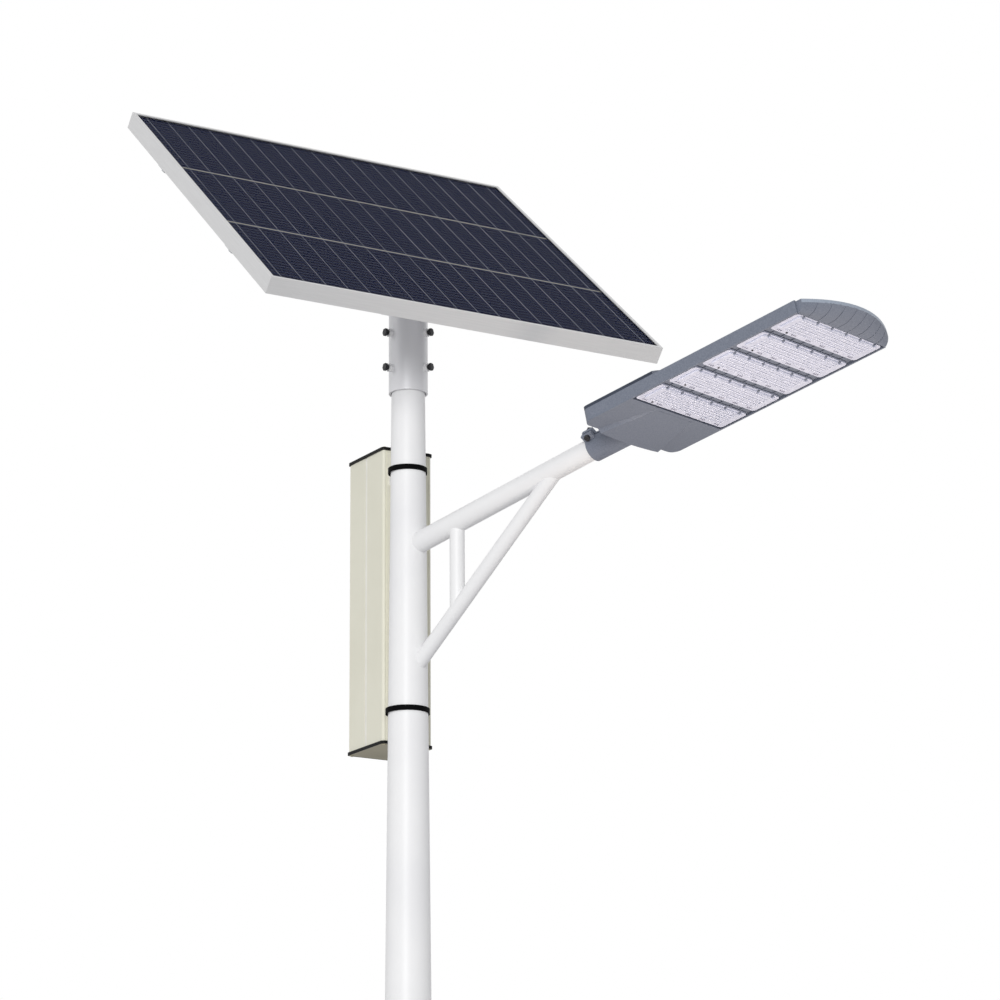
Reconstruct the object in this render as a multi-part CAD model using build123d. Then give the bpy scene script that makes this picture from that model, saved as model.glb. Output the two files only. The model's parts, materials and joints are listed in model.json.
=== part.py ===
from build123d import *
import math
import os

os.makedirs("parts", exist_ok=True)

# Solar street lamp. Millimetres, +Z up, the origin is the centre of the base flange's underside.
# The lamp arm points along +X. The panel and the battery box are turned about the pole by head_yaw.

# ---------------------------------------------------------------- pole and its foot
pole_height = 5000.0
pole_top_od = 73.2
pole_base_od = 163.0
pole_wall = 3.5
flange_side = 320.0
flange_thickness = 16.0
flange_corner_radius = 24.0
anchor_spacing = 230.0
anchor_hole_diameter = 22.0
cable_hole_diameter = 90.0
gusset_height = 130.0
gusset_thickness = 8.0
gusset_edge_margin = 22.0
gusset_nose = 14.0

# ---------------------------------------------------------------- hand hole in the pole
door_centre_height = 700.0
door_opening_height = 320.0
door_opening_width = 86.0
door_gap = 1.5
door_landing = 12.0
door_frame_gap = 0.3
door_frame_thickness = 5.0
door_corner_radius = 16.0
door_pin_diameter = 8.0
door_pin_stand_off = 1.0
door_knuckle_wall = 3.0
door_knuckle_length = 40.0
door_knuckle_gap = 0.5
door_pin_overhang = 4.0
lock_barrel_diameter = 14.0
lock_head_diameter = 22.0
lock_head_height = 4.0
lock_edge_inset = 24.0
lock_cam_depth = 15.0
lock_cam_thickness = 3.0
lock_cam_width = 14.0
lock_cam_reach = 26.0
lock_key_size = 8.0
earth_stud_diameter = 8.0
earth_stud_length = 25.0
earth_stud_drop = 24.0

# ---------------------------------------------------------------- lamp arm
arm_drop = 531.0
arm_height = pole_height - arm_drop
arm_tilt = 12.0
arm_foot_drop = 12.0
arm_bend_distance = 540.0
arm_od = 48.3
arm_wall = 3.0
brace_od = 33.7
brace_wall = 2.6
brace_drop = 310.0
brace_pole_height = arm_height - brace_drop
brace_reach = 455.0
strut_distance = 147.0
weld_gap = 0.05

# ---------------------------------------------------------------- panel bracket
head_yaw = -18.0
sleeve_od = 88.9
sleeve_wall = 4.0
sleeve_length = 197.0
sleeve_overlap = 180.0
sleeve_bottom = pole_height - sleeve_overlap
set_bolt_rows = (56.0, 139.0)
set_bolt_angles = (30.0, 150.0, 270.0)
set_bolt_diameter = 10.0
set_bolt_head_width = 16.0
set_bolt_head_height = 6.5
set_bolt_stand_off = 4.0
weld_nut_height = 8.0
weld_nut_width = 17.0
cap_plate_thickness = 6.0
wire_hole_diameter = 24.0
yoke_outer_width = 92.0
yoke_thickness = 6.0
yoke_base_length = 90.0
yoke_foot_length = 72.0
yoke_foot_height = 4.0
hinge_height_over_cap = 45.0
hinge_radius = 20.0
tilt_bolt_diameter = 12.0
tilt_lock_radius = 45.0
tilt_lock_diameter = 8.0
tilt_lock_eye = 12.0
panel_tilt = 41.0
tilt_travel = 20.0

# ---------------------------------------------------------------- fasteners, as shares of their thread
bolt_clearance = 0.05
washer_thickness = 1.6
hex_width_share = 1.6
hex_head_share = 0.65
hex_nut_share = 0.8

# ---------------------------------------------------------------- spine and rails under the panel
spine_gap = 0.3
spine_thickness = 5.0
spine_rise = 30.0
spine_drop = 20.0
spine_slot_drop = 38.0
spine_hinge_drop = 26.6
spine_length = 520.0
panel_up_shift = 112.0
panel_side_shift = -31.0
rail_height = 30.0
rail_width = 40.0
rail_wall = 2.5
rail_spacing = 460.0
rail_bevel_length = 110.0
rail_end_height = 4.0
rail_bolt_diameter = 8.0

# ---------------------------------------------------------------- solar panel
panel_length = 1000.0
panel_width = 950.0
frame_height = 40.0
frame_wall = 1.8
frame_lip = 8.0
frame_flange = 25.0
glass_thickness = 3.2
glass_recess = 2.0
glass_side_gap = 1.0
cell_columns = 6
cell_rows = 3
cell_thickness = 0.2
cell_row_gap = 3.5
cell_column_gap = 0.6
cell_border = 5.2
ribbons_per_cell = 3
ribbon_width = 1.4
ribbon_thickness = 0.2
backsheet_thickness = 1.0
junction_length = 120.0
junction_width = 90.0
junction_height = 24.0
junction_lid = 4.0
junction_wall = 2.5
junction_up = 340.0
gland_length = 14.0
gland_diameter = 14.0
gland_bore = 6.0
gland_nut_share = 1.2

# ---------------------------------------------------------------- battery box
box_width = 126.0
box_depth = 160.0
box_shell_height = 675.0
box_drop = 981.0
box_bottom = pole_height - box_drop
box_wall = 3.0
box_corner_radius = 6.0
box_corner_least = 0.5
box_side_shift = 33.0
box_face_distance = 62.0
box_cap_thickness = 5.5
box_trim_overhang = 3.2
box_cap_spigot = 6.0
box_cap_fit = 0.3
box_gasket_thickness = 1.0
box_gasket_width = 2.4
box_groove_width = 10.0
box_groove_depth = 1.2
box_seam_width = 3.0
box_seam_depth = 1.0
box_seam_inset = 8.0
box_screw_boss = 9.0
box_screw_diameter = 4.0
box_screw_length = 20.0
box_screw_head = 8.0
box_screw_head_height = 2.4
box_screw_inset = 6.3
battery_width = 96.0
battery_depth = 126.0
battery_stand = 40.0
tray_foot_width = 12.0
controller_width = 70.0
controller_depth = 35.0
controller_height = 130.0
controller_gap = 30.0
controller_top_gap = 68.0
controller_corner = 3.0
controller_rib_pitch = 12.0
controller_rib_count = 5
controller_rib_width = 3.0
controller_rib_height = 5.0
controller_rib_margin = 10.0
box_gland_diameter = 20.0
box_gland_bore = 12.0
box_gland_ring = 5.0
box_gland_side = 30.0

# ---------------------------------------------------------------- clamps that hold the box on the pole
clamp_top_inset = 69.0
clamp_bottom_inset = 64.0
saddle_width = 28.0
saddle_height = 40.0
saddle_fit = 0.1
band_width = 12.0
band_thickness = 1.5
band_slack = 3.0
band_slot_gap = 0.4
band_buckle_length = 24.0
band_buckle_width = 14.0
band_buckle_height = 9.0
band_screw_diameter = 6.0
band_screw_length = 34.0
band_buckle_angle = 40.0

# ---------------------------------------------------------------- lamp head, in its frame on the arm's axis
head_start = 650.0
head_end_margin = 3.5
head_half_width = 155.0
head_bottom = -18.4
head_top = 10.0
head_wall = 4.5
head_corner_radius = 22.0
head_corner_least = 1.0
deck_bottom = -12.0
deck_top = -7.0
floor_end = 785.0
floor_wall = 4.4
cover_end = 850.0
collar_start = 555.0
collar_od = 60.0
collar_fit = 0.3
collar_inside = 20.0
arm_insertion = 90.0
clamp_ear_height = 13.0
clamp_ear_length = 28.0
clamp_ear_thickness = 8.0
clamp_slot = 4.0
clamp_slot_length = 60.0
clamp_angle = 146.0
clamp_bolt_diameter = 8.0
bulge_half_width_start = 105.0
bulge_half_width_end = 68.0
bulge_depth = 13.2
bulge_flank = 8.0
bulge_end = 776.0
bulge_run_out = 0.6
bulge_overlap = 1.0
bulge_shoulder = 0.3
fin_pitch = 17.0
fin_count = 17
fin_thickness = 2.6
fin_start = 860.0
fin_centre_top = 30.0
fin_edge_top = 10.0
fin_slope_length = 30.0
fin_end_slope = 24.0
fin_end_height = 8.0
fin_root = 1.0
fin_foot = 2.0
rib_pitch = 34.0
rib_count = 8
rib_width = 3.0
rib_depth = 2.5
rib_end_gap = 1.0
cover_boss_wall = 2.0

# ---------------------------------------------------------------- LED modules
module_count = 5
module_pitch = 90.0
module_start = 789.5
module_width = 73.0
head_end = module_start + (module_count - 1) * module_pitch + module_width + head_end_margin
module_length = 294.0
module_corner_radius = 8.0
lens_bottom = -17.4
lens_raise = 4.0
lens_near_margin = 14.0
lens_far_margin = 4.0
lens_end_margin = 11.0
lens_pocket_depth = 1.4
lens_chamfer = 1.6
lens_corner_cut = 4.0
gasket_thickness = 1.2
gasket_width = 2.0
gasket_inset = 6.2
board_thickness = 1.6
board_margin = 9.2
module_screw_count = 6
module_screw_diameter = 3.0
module_screw_head = 6.0
module_screw_head_height = 2.0
module_screw_inset = 3.0
module_screw_gap = 0.1
module_screw_floor = 1.0
module_notch = 7.6
module_notch_depth = 6.6

# ---------------------------------------------------------------- nose of the lamp head
nose_reach_centre = 58.0
nose_reach_side = 14.0
nose_flat_share = 0.25
nose_rim_bottom = 0.0
nose_rim_top = 8.0
nose_skin = 3.5
nose_side_gap = 4.0
nose_groove_width = 1.5
nose_groove_depth = 1.4
nose_sections = 7
nose_bend_reach = 0.62
nose_bend_rise = 0.38

# ---------------------------------------------------------------- driver cover and what lies under it
cover_edge_height = 7.0
cover_centre_height = 34.0
cover_thickness = 3.0
cover_pin_diameter = 5.0
cover_pin_out = 6.0
cover_knuckle_wall = 2.5
cover_knuckle_length = 24.0
cover_knuckle_gap = 0.4
cover_pin_overhang = 2.0
cover_collar_gap = 0.8
cover_post_wall = 2.0
cover_hinge_inset = 26.0
cover_screw_diameter = 5.0
cover_screw_head = 9.0
cover_screw_head_height = 3.0
cover_screw_grip = 6.0
cover_screw_gap = 0.4
cover_screw_end_margin = 6.0
driver_length = 190.0
driver_width = 60.0
driver_height = 30.0
driver_distance = 35.0
driver_corner_radius = 3.0
terminal_length = 60.0
terminal_width = 18.0
terminal_height = 16.0
terminal_gap = 8.0
terminal_pitch = 10.0
terminal_count = 5
terminal_notch_width = 6.0
terminal_notch_depth = 5.0


def write(name, shape):
    """Write one node as its own STEP file."""
    shape.label = name
    export_step(shape, "parts/" + name + ".step")


def group(shapes):
    """Keep several separate solids together in one node."""
    return Compound(children=list(shapes))


def pole_radius(height, inset=0.0):
    """Outside radius of the tapered pole at a height, less an inset."""
    share = (height - flange_thickness) / (pole_height - flange_thickness)
    return (pole_base_od + (pole_top_od - pole_base_od) * share) / 2 - inset


def pole_cone(inset=0.0, low=flange_thickness, high=pole_height):
    """Solid tapered cone that follows the pole, shrunk by an inset."""
    cone = Cone(
        pole_radius(low, inset),
        pole_radius(high, inset),
        high - low,
        align=(Align.CENTER, Align.CENTER, Align.MIN),
    )
    return Pos(0, 0, low) * cone


def bar(low, high):
    """Box between two corners."""
    size = [b - a for a, b in zip(low, high)]
    centre = [(a + b) / 2 for a, b in zip(low, high)]
    return Pos(*centre) * Box(*size)


def bar_places(count, pitch):
    """Places of equal pieces along a line, centred on its middle."""
    return [(index - (count - 1) / 2) * pitch for index in range(count)]


def rod(start, end, radius):
    """Round bar from one point to another."""
    start, end = Vector(start), Vector(end)
    axis = end - start
    place = Plane(origin=start, z_dir=axis)
    return extrude(place * Circle(radius), axis.length)


def tube(start, end, radius, bore):
    return rod(start, end, radius) - rod(start, end, bore)


def rounded_prism(width, height, radius, depth, place):
    """Rounded rectangle extruded both ways from a plane."""
    return extrude(place * RectangleRounded(width, height, radius), depth, both=True)


def hexagon(width, height, place):
    return extrude(place * RegularPolygon(width / 2, 6, major_radius=False), height)


def screw(diameter, length, head_diameter, head_height, place):
    """Hexagon-head screw, its head seated on the plane and its shank going down."""
    head = extrude(place * RegularPolygon(head_diameter / 2, 6), head_height)
    shank = extrude(place * Circle(diameter / 2), -length)
    return head + shank


# ================================================================ pole
def base_flange():
    plate = rounded_prism(
        flange_side, flange_side, flange_corner_radius, flange_thickness / 2,
        Plane.XY.offset(flange_thickness / 2),
    )
    holes = [
        Pos(x * anchor_spacing / 2, y * anchor_spacing / 2, flange_thickness / 2)
        * Cylinder(anchor_hole_diameter / 2, flange_thickness * 2)
        for x in (-1, 1)
        for y in (-1, 1)
    ]
    middle = Pos(0, 0, flange_thickness / 2) * Cylinder(cable_hole_diameter / 2, flange_thickness * 2)
    return plate - holes - middle


def base_gussets():
    """Four triangular plates between the pole and the flange."""
    reach = flange_side / 2 - gusset_edge_margin
    top = flange_thickness + gusset_height
    plates = []
    for turn in range(4):
        with BuildSketch(Plane.XZ) as outline:
            with BuildLine():
                Polyline(
                    (0, flange_thickness),
                    (reach, flange_thickness),
                    (reach, flange_thickness + gusset_nose),
                    (pole_radius(top) + gusset_nose, top),
                    (0, top),
                    close=True,
                )
            make_face()
        plate = extrude(outline.sketch, gusset_thickness / 2, both=True)
        plate = plate - pole_cone(-weld_gap, flange_thickness - 1, top + 1)
        plates.append(Rot(0, 0, 90 * turn) * plate)
    return group(plates)


door_plane = Plane(origin=(0, 0, door_centre_height), x_dir=(1, 0, 0), z_dir=(0, -1, 0))
door_depth = pole_radius(door_centre_height) * 1.5


def door_prism(grow):
    """Rounded prism through the pole's -Y wall, the door opening grown on every side."""
    width = door_opening_width + 2 * grow
    height = door_opening_height + 2 * grow
    face = door_plane * RectangleRounded(width, height, door_corner_radius + grow / 2)
    return extrude(face, door_depth)


door_low = door_centre_height - door_opening_height
door_high = door_centre_height + door_opening_height
pin_x = -(door_opening_width / 2 + door_landing)
hinge_half = 1.5 * door_knuckle_length + door_knuckle_gap
knuckle_radius = door_pin_diameter / 2 + door_knuckle_wall
door_pin_bore = door_pin_diameter / 2 + bolt_clearance
pin_reach = pole_radius(door_centre_height - hinge_half) + door_pin_stand_off + knuckle_radius
pin_y = -math.sqrt(pin_reach**2 - pin_x**2)


def pole_shaft():
    inner = pole_cone(pole_wall, flange_thickness, pole_height)
    return pole_cone() - inner - door_prism(0)


def handhole_frame():
    """Ring welded behind the opening; the door's edge lands on it and the lock cam turns behind it."""
    outer = pole_cone(pole_wall + door_frame_gap, door_low, door_high)
    inner = pole_cone(pole_wall + door_frame_gap + door_frame_thickness, door_low, door_high)
    return (outer - inner) & (door_prism(door_landing) - door_prism(-door_landing))


# The lock stands square to the door's surface, so its axis is a radius of the pole.
lock_x = door_opening_width / 2 - door_gap - lock_edge_inset
lock_turn = math.asin(lock_x / pole_radius(door_centre_height))
lock_axis = Vector(math.sin(lock_turn), -math.cos(lock_turn), 0)


def on_lock(distance):
    """Plane square to the lock's axis, at a distance from the pole's axis; its y runs up the pole."""
    origin = lock_axis * distance + Vector(0, 0, door_centre_height)
    return Plane(origin=origin, x_dir=(math.cos(lock_turn), math.sin(lock_turn), 0), z_dir=lock_axis)


def knuckle(low, high):
    """Hinge barrel of the hand-hole door, about the pin."""
    return tube((pin_x, pin_y, low), (pin_x, pin_y, high), knuckle_radius, door_pin_bore)


def knuckle_web(low, high):
    """Web from a fixed hinge barrel straight back into the pole's wall."""
    half = door_knuckle_wall / 2
    web = bar((pin_x - half, pin_y, low), (pin_x + half, 0, high))
    return web - rod((pin_x, pin_y, low - 1), (pin_x, pin_y, high + 1), door_pin_bore)


def handhole_door():
    """Curved door leaf with a strap that runs outside the wall to its hinge barrel."""
    wall = pole_cone(0, door_low, door_high) - pole_cone(pole_wall, door_low, door_high)
    leaf = wall & door_prism(-door_gap)
    half = door_knuckle_length / 2
    low, high = door_centre_height - half, door_centre_height + half
    foot_x = -(door_opening_width / 2 - door_gap - door_knuckle_wall)
    strap_y = pin_y - knuckle_radius
    strap = bar((pin_x, strap_y, low), (foot_x, strap_y + door_knuckle_wall, high))
    foot = bar((foot_x - door_knuckle_wall / 2, strap_y, low), (foot_x + door_knuckle_wall, 0, high))
    foot = foot - pole_cone(pole_wall / 2, door_low, door_high)
    bore = rod((pin_x, pin_y, low - 1), (pin_x, pin_y, high + 1), door_pin_bore)
    door = leaf + knuckle(low, high) + (strap - bore) + foot
    hole = extrude(on_lock(0) * Circle(lock_barrel_diameter / 2 + bolt_clearance), 2 * pole_radius(door_low))
    return door - hole


def door_hinge_knuckles():
    """Two barrels welded to the pole, above and below the door's own barrel."""
    half = door_knuckle_length / 2
    pieces = []
    for side in (-1, 1):
        first = door_centre_height + side * (half + door_knuckle_gap)
        second = door_centre_height + side * (half + door_knuckle_gap + door_knuckle_length)
        low, high = min(first, second), max(first, second)
        barrel = knuckle(low, high) + knuckle_web(low, high)
        pieces.append(barrel - pole_cone(-weld_gap, door_low, door_high))
    return group(pieces)


def door_hinge_pin():
    reach = hinge_half + door_pin_overhang
    low, high = door_centre_height - reach, door_centre_height + reach
    return rod((pin_x, pin_y, low), (pin_x, pin_y, high), door_pin_diameter / 2)


def door_lock():
    """Quarter-turn lock: keyed head, barrel through the door and a cam, shown hanging open."""
    seat = pole_radius(door_centre_height - lock_head_diameter / 2) + bolt_clearance
    cam_seat = seat - lock_cam_depth
    head = extrude(on_lock(seat) * Circle(lock_head_diameter / 2), lock_head_height)
    barrel = extrude(on_lock(cam_seat) * Circle(lock_barrel_diameter / 2), lock_cam_depth)
    cam_middle = (lock_cam_width / 2 - lock_cam_reach) / 2
    cam_face = Pos(0, cam_middle) * Rectangle(lock_cam_width, lock_cam_reach + lock_cam_width / 2)
    cam = extrude(on_lock(cam_seat) * cam_face, -lock_cam_thickness)
    key = extrude(on_lock(seat) * RegularPolygon(lock_key_size / 2, 3), 2 * lock_head_height)
    return head + barrel + cam - key


def earth_stud():
    """Threaded stud with its nut on the wall across from the hand hole, just below it."""
    height = door_centre_height - door_opening_height / 2 - earth_stud_drop
    place = Plane(origin=(0, pole_radius(height), height), x_dir=(1, 0, 0), z_dir=(0, -1, 0))
    shank = extrude(place * Circle(earth_stud_diameter / 2), pole_wall + earth_stud_length)
    nut_place = place.offset(pole_wall + earth_stud_length / 2)
    nut = hexagon(earth_stud_diameter * hex_width_share, earth_stud_diameter * hex_nut_share, nut_place)
    return (shank + nut) & pole_cone(pole_wall + weld_gap, door_low, door_high)


# ================================================================ arm
# The arm rises from its foot to a slight bend, and its clamped end lies on the lamp head's axis.
lamp_dir = Vector(math.cos(math.radians(arm_tilt)), 0, math.sin(math.radians(arm_tilt)))
arm_foot = Vector(0, 0, arm_height - arm_foot_drop)
arm_bend = Vector(0, 0, arm_height) + lamp_dir * arm_bend_distance
arm_run = (arm_bend - arm_foot).normalized()
arm_tip = Vector(0, 0, arm_height) + lamp_dir * (collar_start + arm_insertion)


def arm_bar(radius, tip=arm_tip):
    """Solid bar along the arm, mitred at its bend."""
    section = Plane(origin=arm_foot, z_dir=arm_run) * Circle(radius)
    return sweep(section, path=Polyline(arm_foot, arm_bend, tip), transition=Transition.RIGHT)


def arm_tube():
    return arm_bar(arm_od / 2) - pole_cone(-weld_gap) - arm_bar(arm_od / 2 - arm_wall, arm_tip + lamp_dir)


brace_start = Vector(0, 0, brace_pole_height)
brace_end = arm_foot + arm_run * brace_reach


def brace_tube():
    whole = rod(brace_start, brace_end, brace_od / 2)
    bore = rod(brace_start, brace_end, brace_od / 2 - brace_wall)
    body = whole - bore - pole_cone(-weld_gap)
    body = body - arm_bar(arm_od / 2 + weld_gap)
    return max(body.solids(), key=lambda solid: solid.volume)


def strut_tube():
    """Short upright tube between the brace and the arm."""
    share = strut_distance / brace_end.X
    low = brace_start + (brace_end - brace_start) * share
    high = arm_foot + arm_run * (strut_distance / arm_run.X)
    body = tube((low.X, 0, low.Z), (high.X, 0, high.Z), brace_od / 2, brace_od / 2 - brace_wall)
    body = body - arm_bar(arm_od / 2 + weld_gap)
    body = body - rod(brace_start, brace_end, brace_od / 2 + weld_gap)
    return max(body.solids(), key=lambda solid: solid.volume)


# ================================================================ panel bracket
# Upright frame turned with the panel: x is the panel's downhill side.
turned_location = Location((0, 0, sleeve_bottom), (0, 0, head_yaw))
hinge_z = sleeve_length + cap_plate_thickness + hinge_height_over_cap
lock_direction = Vector(-math.cos(math.radians(panel_tilt)), 0, math.sin(math.radians(panel_tilt)))


def in_turned(shape):
    return turned_location * shape


def around(angle):
    """Direction out from the sleeve's axis at an angle about it."""
    return Vector(1, 0, 0).rotate(Axis.Z, angle)


def bracket_sleeve():
    """Sleeve over the pole's top, its cap plate and the two yoke ears."""
    bore = sleeve_od / 2 - sleeve_wall
    body = Cylinder(sleeve_od / 2, sleeve_length, align=(Align.CENTER, Align.CENTER, Align.MIN))
    body = body - Cylinder(bore, sleeve_length, align=(Align.CENTER, Align.CENTER, Align.MIN))
    cap = bar(
        (-yoke_base_length / 2, -yoke_outer_width / 2, sleeve_length),
        (yoke_base_length / 2, yoke_outer_width / 2, sleeve_length + cap_plate_thickness),
    )
    wire_hole = Pos(0, 0, sleeve_length) * Cylinder(wire_hole_diameter / 2, 4 * cap_plate_thickness)
    body = body + cap - wire_hole
    lock = Vector(0, 0, hinge_z) + lock_direction * tilt_lock_radius
    foot = Rectangle(yoke_foot_length, yoke_foot_height)
    for side in (-1, 1):
        inner = side * (yoke_outer_width / 2 - yoke_thickness)
        outer = side * yoke_outer_width / 2
        face = Plane(origin=(0, inner, 0), x_dir=(1, 0, 0), z_dir=(0, side, 0))
        flip = 1 if face.y_dir.Z > 0 else -1
        base = sleeve_length + cap_plate_thickness
        outline = make_hull(
            [
                edge
                for part in (
                    Pos(0, flip * hinge_z) * Circle(hinge_radius),
                    Pos(lock.X, flip * lock.Z) * Circle(tilt_lock_eye),
                    Pos(0, flip * (base + yoke_foot_height / 2)) * foot,
                )
                for edge in part.edges()
            ]
        )
        ear = extrude(face * outline, abs(outer - inner))
        body = body + ear
    for x, z, diameter in ((0, hinge_z, tilt_bolt_diameter), (lock.X, lock.Z, tilt_lock_diameter)):
        body = body - rod((x, -yoke_outer_width, z), (x, yoke_outer_width, z), diameter / 2 + bolt_clearance)
    for row in set_bolt_rows:
        for angle in set_bolt_angles:
            outward = around(angle)
            lift = Vector(0, 0, row)
            start, end = outward * (bore / 2) + lift, outward * sleeve_od + lift
            body = body - rod(start, end, set_bolt_diameter / 2 + bolt_clearance)
    return in_turned(body)


def around_sleeve(make):
    """Repeat one piece at every set bolt: two rows of three."""
    pieces = []
    for row in set_bolt_rows:
        for angle in set_bolt_angles:
            pieces.append(in_turned(make(around(angle), row)))
    return group(pieces)


def weld_nut(outward, row):
    """Hexagon nut welded on the sleeve over a bolt hole."""
    lift = Vector(0, 0, row)
    skin = sleeve_od / 2
    nut = hexagon(weld_nut_width, skin + weld_nut_height, Plane(origin=lift, z_dir=outward))
    bore = rod(lift, outward * 2 * sleeve_od + lift, set_bolt_diameter / 2 + bolt_clearance)
    return nut - Cylinder(skin + weld_gap, 4 * sleeve_length) - bore


def set_bolt(outward, row):
    """Bolt whose tip presses on the pole at its own height."""
    tip = pole_radius(sleeve_bottom + row - set_bolt_diameter / 2, -bolt_clearance)
    under_head = sleeve_od / 2 + weld_nut_height + set_bolt_stand_off
    lift = Vector(0, 0, row)
    shank = rod(outward * tip + lift, outward * under_head + lift, set_bolt_diameter / 2)
    head_place = Plane(origin=outward * under_head + lift, z_dir=outward)
    return shank + hexagon(set_bolt_head_width, set_bolt_head_height, head_place)


# Tilted frame: origin on the tilt axis, x downhill along the panel, z out of the glass.
tilt_location = (
    turned_location
    * Location((0, 0, hinge_z))
    * Location((0, 0, 0), (0, panel_tilt, 0))
)


def in_tilt(shape):
    return tilt_location * shape


spine_inner = yoke_outer_width / 2 + spine_gap
spine_outer = spine_inner + spine_thickness
spine_top = spine_rise + spine_thickness
spine_high = -(panel_up_shift + spine_length / 2)
spine_low = -panel_up_shift + spine_length / 2


def support_spine():
    """Folded channel under the rails; its flanges hold the tilt bolt and the arc slots."""
    web = bar((spine_high, -spine_outer, spine_rise), (spine_low, spine_outer, spine_top))
    body = web
    for side in (-1, 1):
        face = Plane(origin=(0, side * spine_inner, 0), x_dir=(1, 0, 0), z_dir=(0, side, 0))
        flip = 1 if face.y_dir.Z > 0 else -1
        corners = [
            (spine_high, spine_top),
            (spine_high, spine_rise - spine_drop / 2),
            (-tilt_lock_radius - 3 * tilt_lock_eye, -spine_slot_drop / 2),
            (-tilt_lock_radius, -spine_slot_drop),
            (hinge_radius, -spine_hinge_drop),
            (hinge_radius * 3, spine_rise - spine_drop),
            (spine_low, spine_rise - spine_drop / 2),
            (spine_low, spine_top),
        ]
        outline = make_face(Polyline(*[(x, flip * z) for x, z in corners], close=True))
        body = body + extrude(face * outline, spine_thickness)
    through = spine_outer + 1
    body = body - rod((0, -through, 0), (0, through, 0), tilt_bolt_diameter / 2 + bolt_clearance)
    slot_half = tilt_lock_diameter / 2 + bolt_clearance
    ring = Plane.XZ * (Circle(tilt_lock_radius + slot_half) - Circle(tilt_lock_radius - slot_half))
    ring = extrude(ring, through, both=True)
    turn = math.radians(tilt_travel)
    wedge = make_face(
        Polyline(
            (0, 0),
            (-2 * tilt_lock_radius * math.cos(turn), 2 * tilt_lock_radius * math.sin(turn)),
            (-2 * tilt_lock_radius * math.cos(turn), -2 * tilt_lock_radius * math.sin(turn)),
            close=True,
        )
    )
    slot = ring & extrude(Plane.XZ * wedge, through, both=True)
    for end in (-1, 1):
        x = -tilt_lock_radius * math.cos(turn)
        z = end * tilt_lock_radius * math.sin(turn)
        slot = slot + rod((x, -through, z), (x, through, z), slot_half)
    body = body - slot
    hole = Cylinder(rail_bolt_diameter / 2 + bolt_clearance, 4 * spine_thickness)
    for x, y in rail_bolt_places():
        body = body - Pos(x, y, spine_top) * hole
    return in_tilt(body)


def through_bolt(x, z, diameter, half_width):
    """Hexagon bolt across the yoke and the spine, with its head on one side."""
    shank = rod((x, -half_width, z), (x, half_width + washer_thickness + diameter, z), diameter / 2)
    place = Plane(origin=(x, -half_width, z), z_dir=(0, -1, 0))
    return shank + hexagon(diameter * hex_width_share, diameter * hex_head_share, place)


def through_nut(x, z, diameter, half_width):
    place = Plane(origin=(x, half_width, z), z_dir=(0, 1, 0))
    nut = extrude(place * Circle(diameter), washer_thickness)
    nut = nut + hexagon(diameter * hex_width_share, diameter * hex_nut_share, place.offset(washer_thickness))
    return nut - rod((x, 0, z), (x, half_width * 3, z), diameter / 2 + bolt_clearance)


def tilt_bolt():
    return in_tilt(through_bolt(0, 0, tilt_bolt_diameter, spine_outer))


def tilt_nut():
    return in_tilt(through_nut(0, 0, tilt_bolt_diameter, spine_outer))


def lock_point():
    lock = lock_direction * tilt_lock_radius
    return lock.X, hinge_z + lock.Z


def tilt_lock_bolt():
    x, z = lock_point()
    return in_turned(through_bolt(x, z, tilt_lock_diameter, spine_outer + spine_gap))


def tilt_lock_nut():
    x, z = lock_point()
    return in_turned(through_nut(x, z, tilt_lock_diameter, spine_outer + spine_gap))


rail_distances = [-panel_up_shift - rail_spacing / 2, -panel_up_shift + rail_spacing / 2]
rail_top = spine_top + rail_height
frame_bottom = rail_top


def rail_bolt_places():
    places = []
    for distance in rail_distances:
        for side in (-1, 1):
            places.append((distance, side * yoke_outer_width / 4))
    return places


def clamp_bolt_places():
    inset = panel_length / 2 - frame_flange / 2
    return [
        (distance, panel_side_shift + side * inset)
        for distance in rail_distances
        for side in (-1, 1)
    ]


def rail_bevels(low_y, high_y):
    """Wedges that cut the rails' undersides away towards their ends."""
    wedges = []
    deep = spine_top - rail_wall
    slope = (rail_height - rail_end_height) / rail_bevel_length
    run = (rail_height - rail_end_height + rail_wall) / slope
    for end, inward in ((low_y, 1), (high_y, -1)):
        corners = ((end, rail_top - rail_end_height), (end, deep), (end + inward * run, deep))
        face = make_face(Polyline(*[Vector(0, y, z) for y, z in corners], close=True))
        wedges.append(Pos(-panel_up_shift, 0, 0) * extrude(face, panel_width / 2, both=True, dir=(1, 0, 0)))
    return wedges


def panel_rails():
    """Two C channels across the panel, open uphill so that a spanner reaches the nuts inside."""
    rails = []
    low_y = panel_side_shift - panel_length / 2 + frame_wall
    high_y = panel_side_shift + panel_length / 2 - frame_wall
    bevels = rail_bevels(low_y, high_y)
    hole = Cylinder(rail_bolt_diameter / 2 + bolt_clearance, 3 * rail_wall)
    holes = [Pos(x, y, spine_top) * hole for x, y in rail_bolt_places()]
    holes += [Pos(x, y, rail_top) * hole for x, y in clamp_bolt_places()]
    for distance in rail_distances:
        start, end = distance - rail_width / 2, distance + rail_width / 2
        rail = bar((start, low_y, spine_top), (end, high_y, rail_top))
        hollow_low = (start - 1, low_y - 1, spine_top + rail_wall)
        rail = rail - bar(hollow_low, (end - rail_wall, high_y + 1, rail_top - rail_wall)) - holes
        rails.append(in_tilt(rail - bevels))
    return group(rails)


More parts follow.
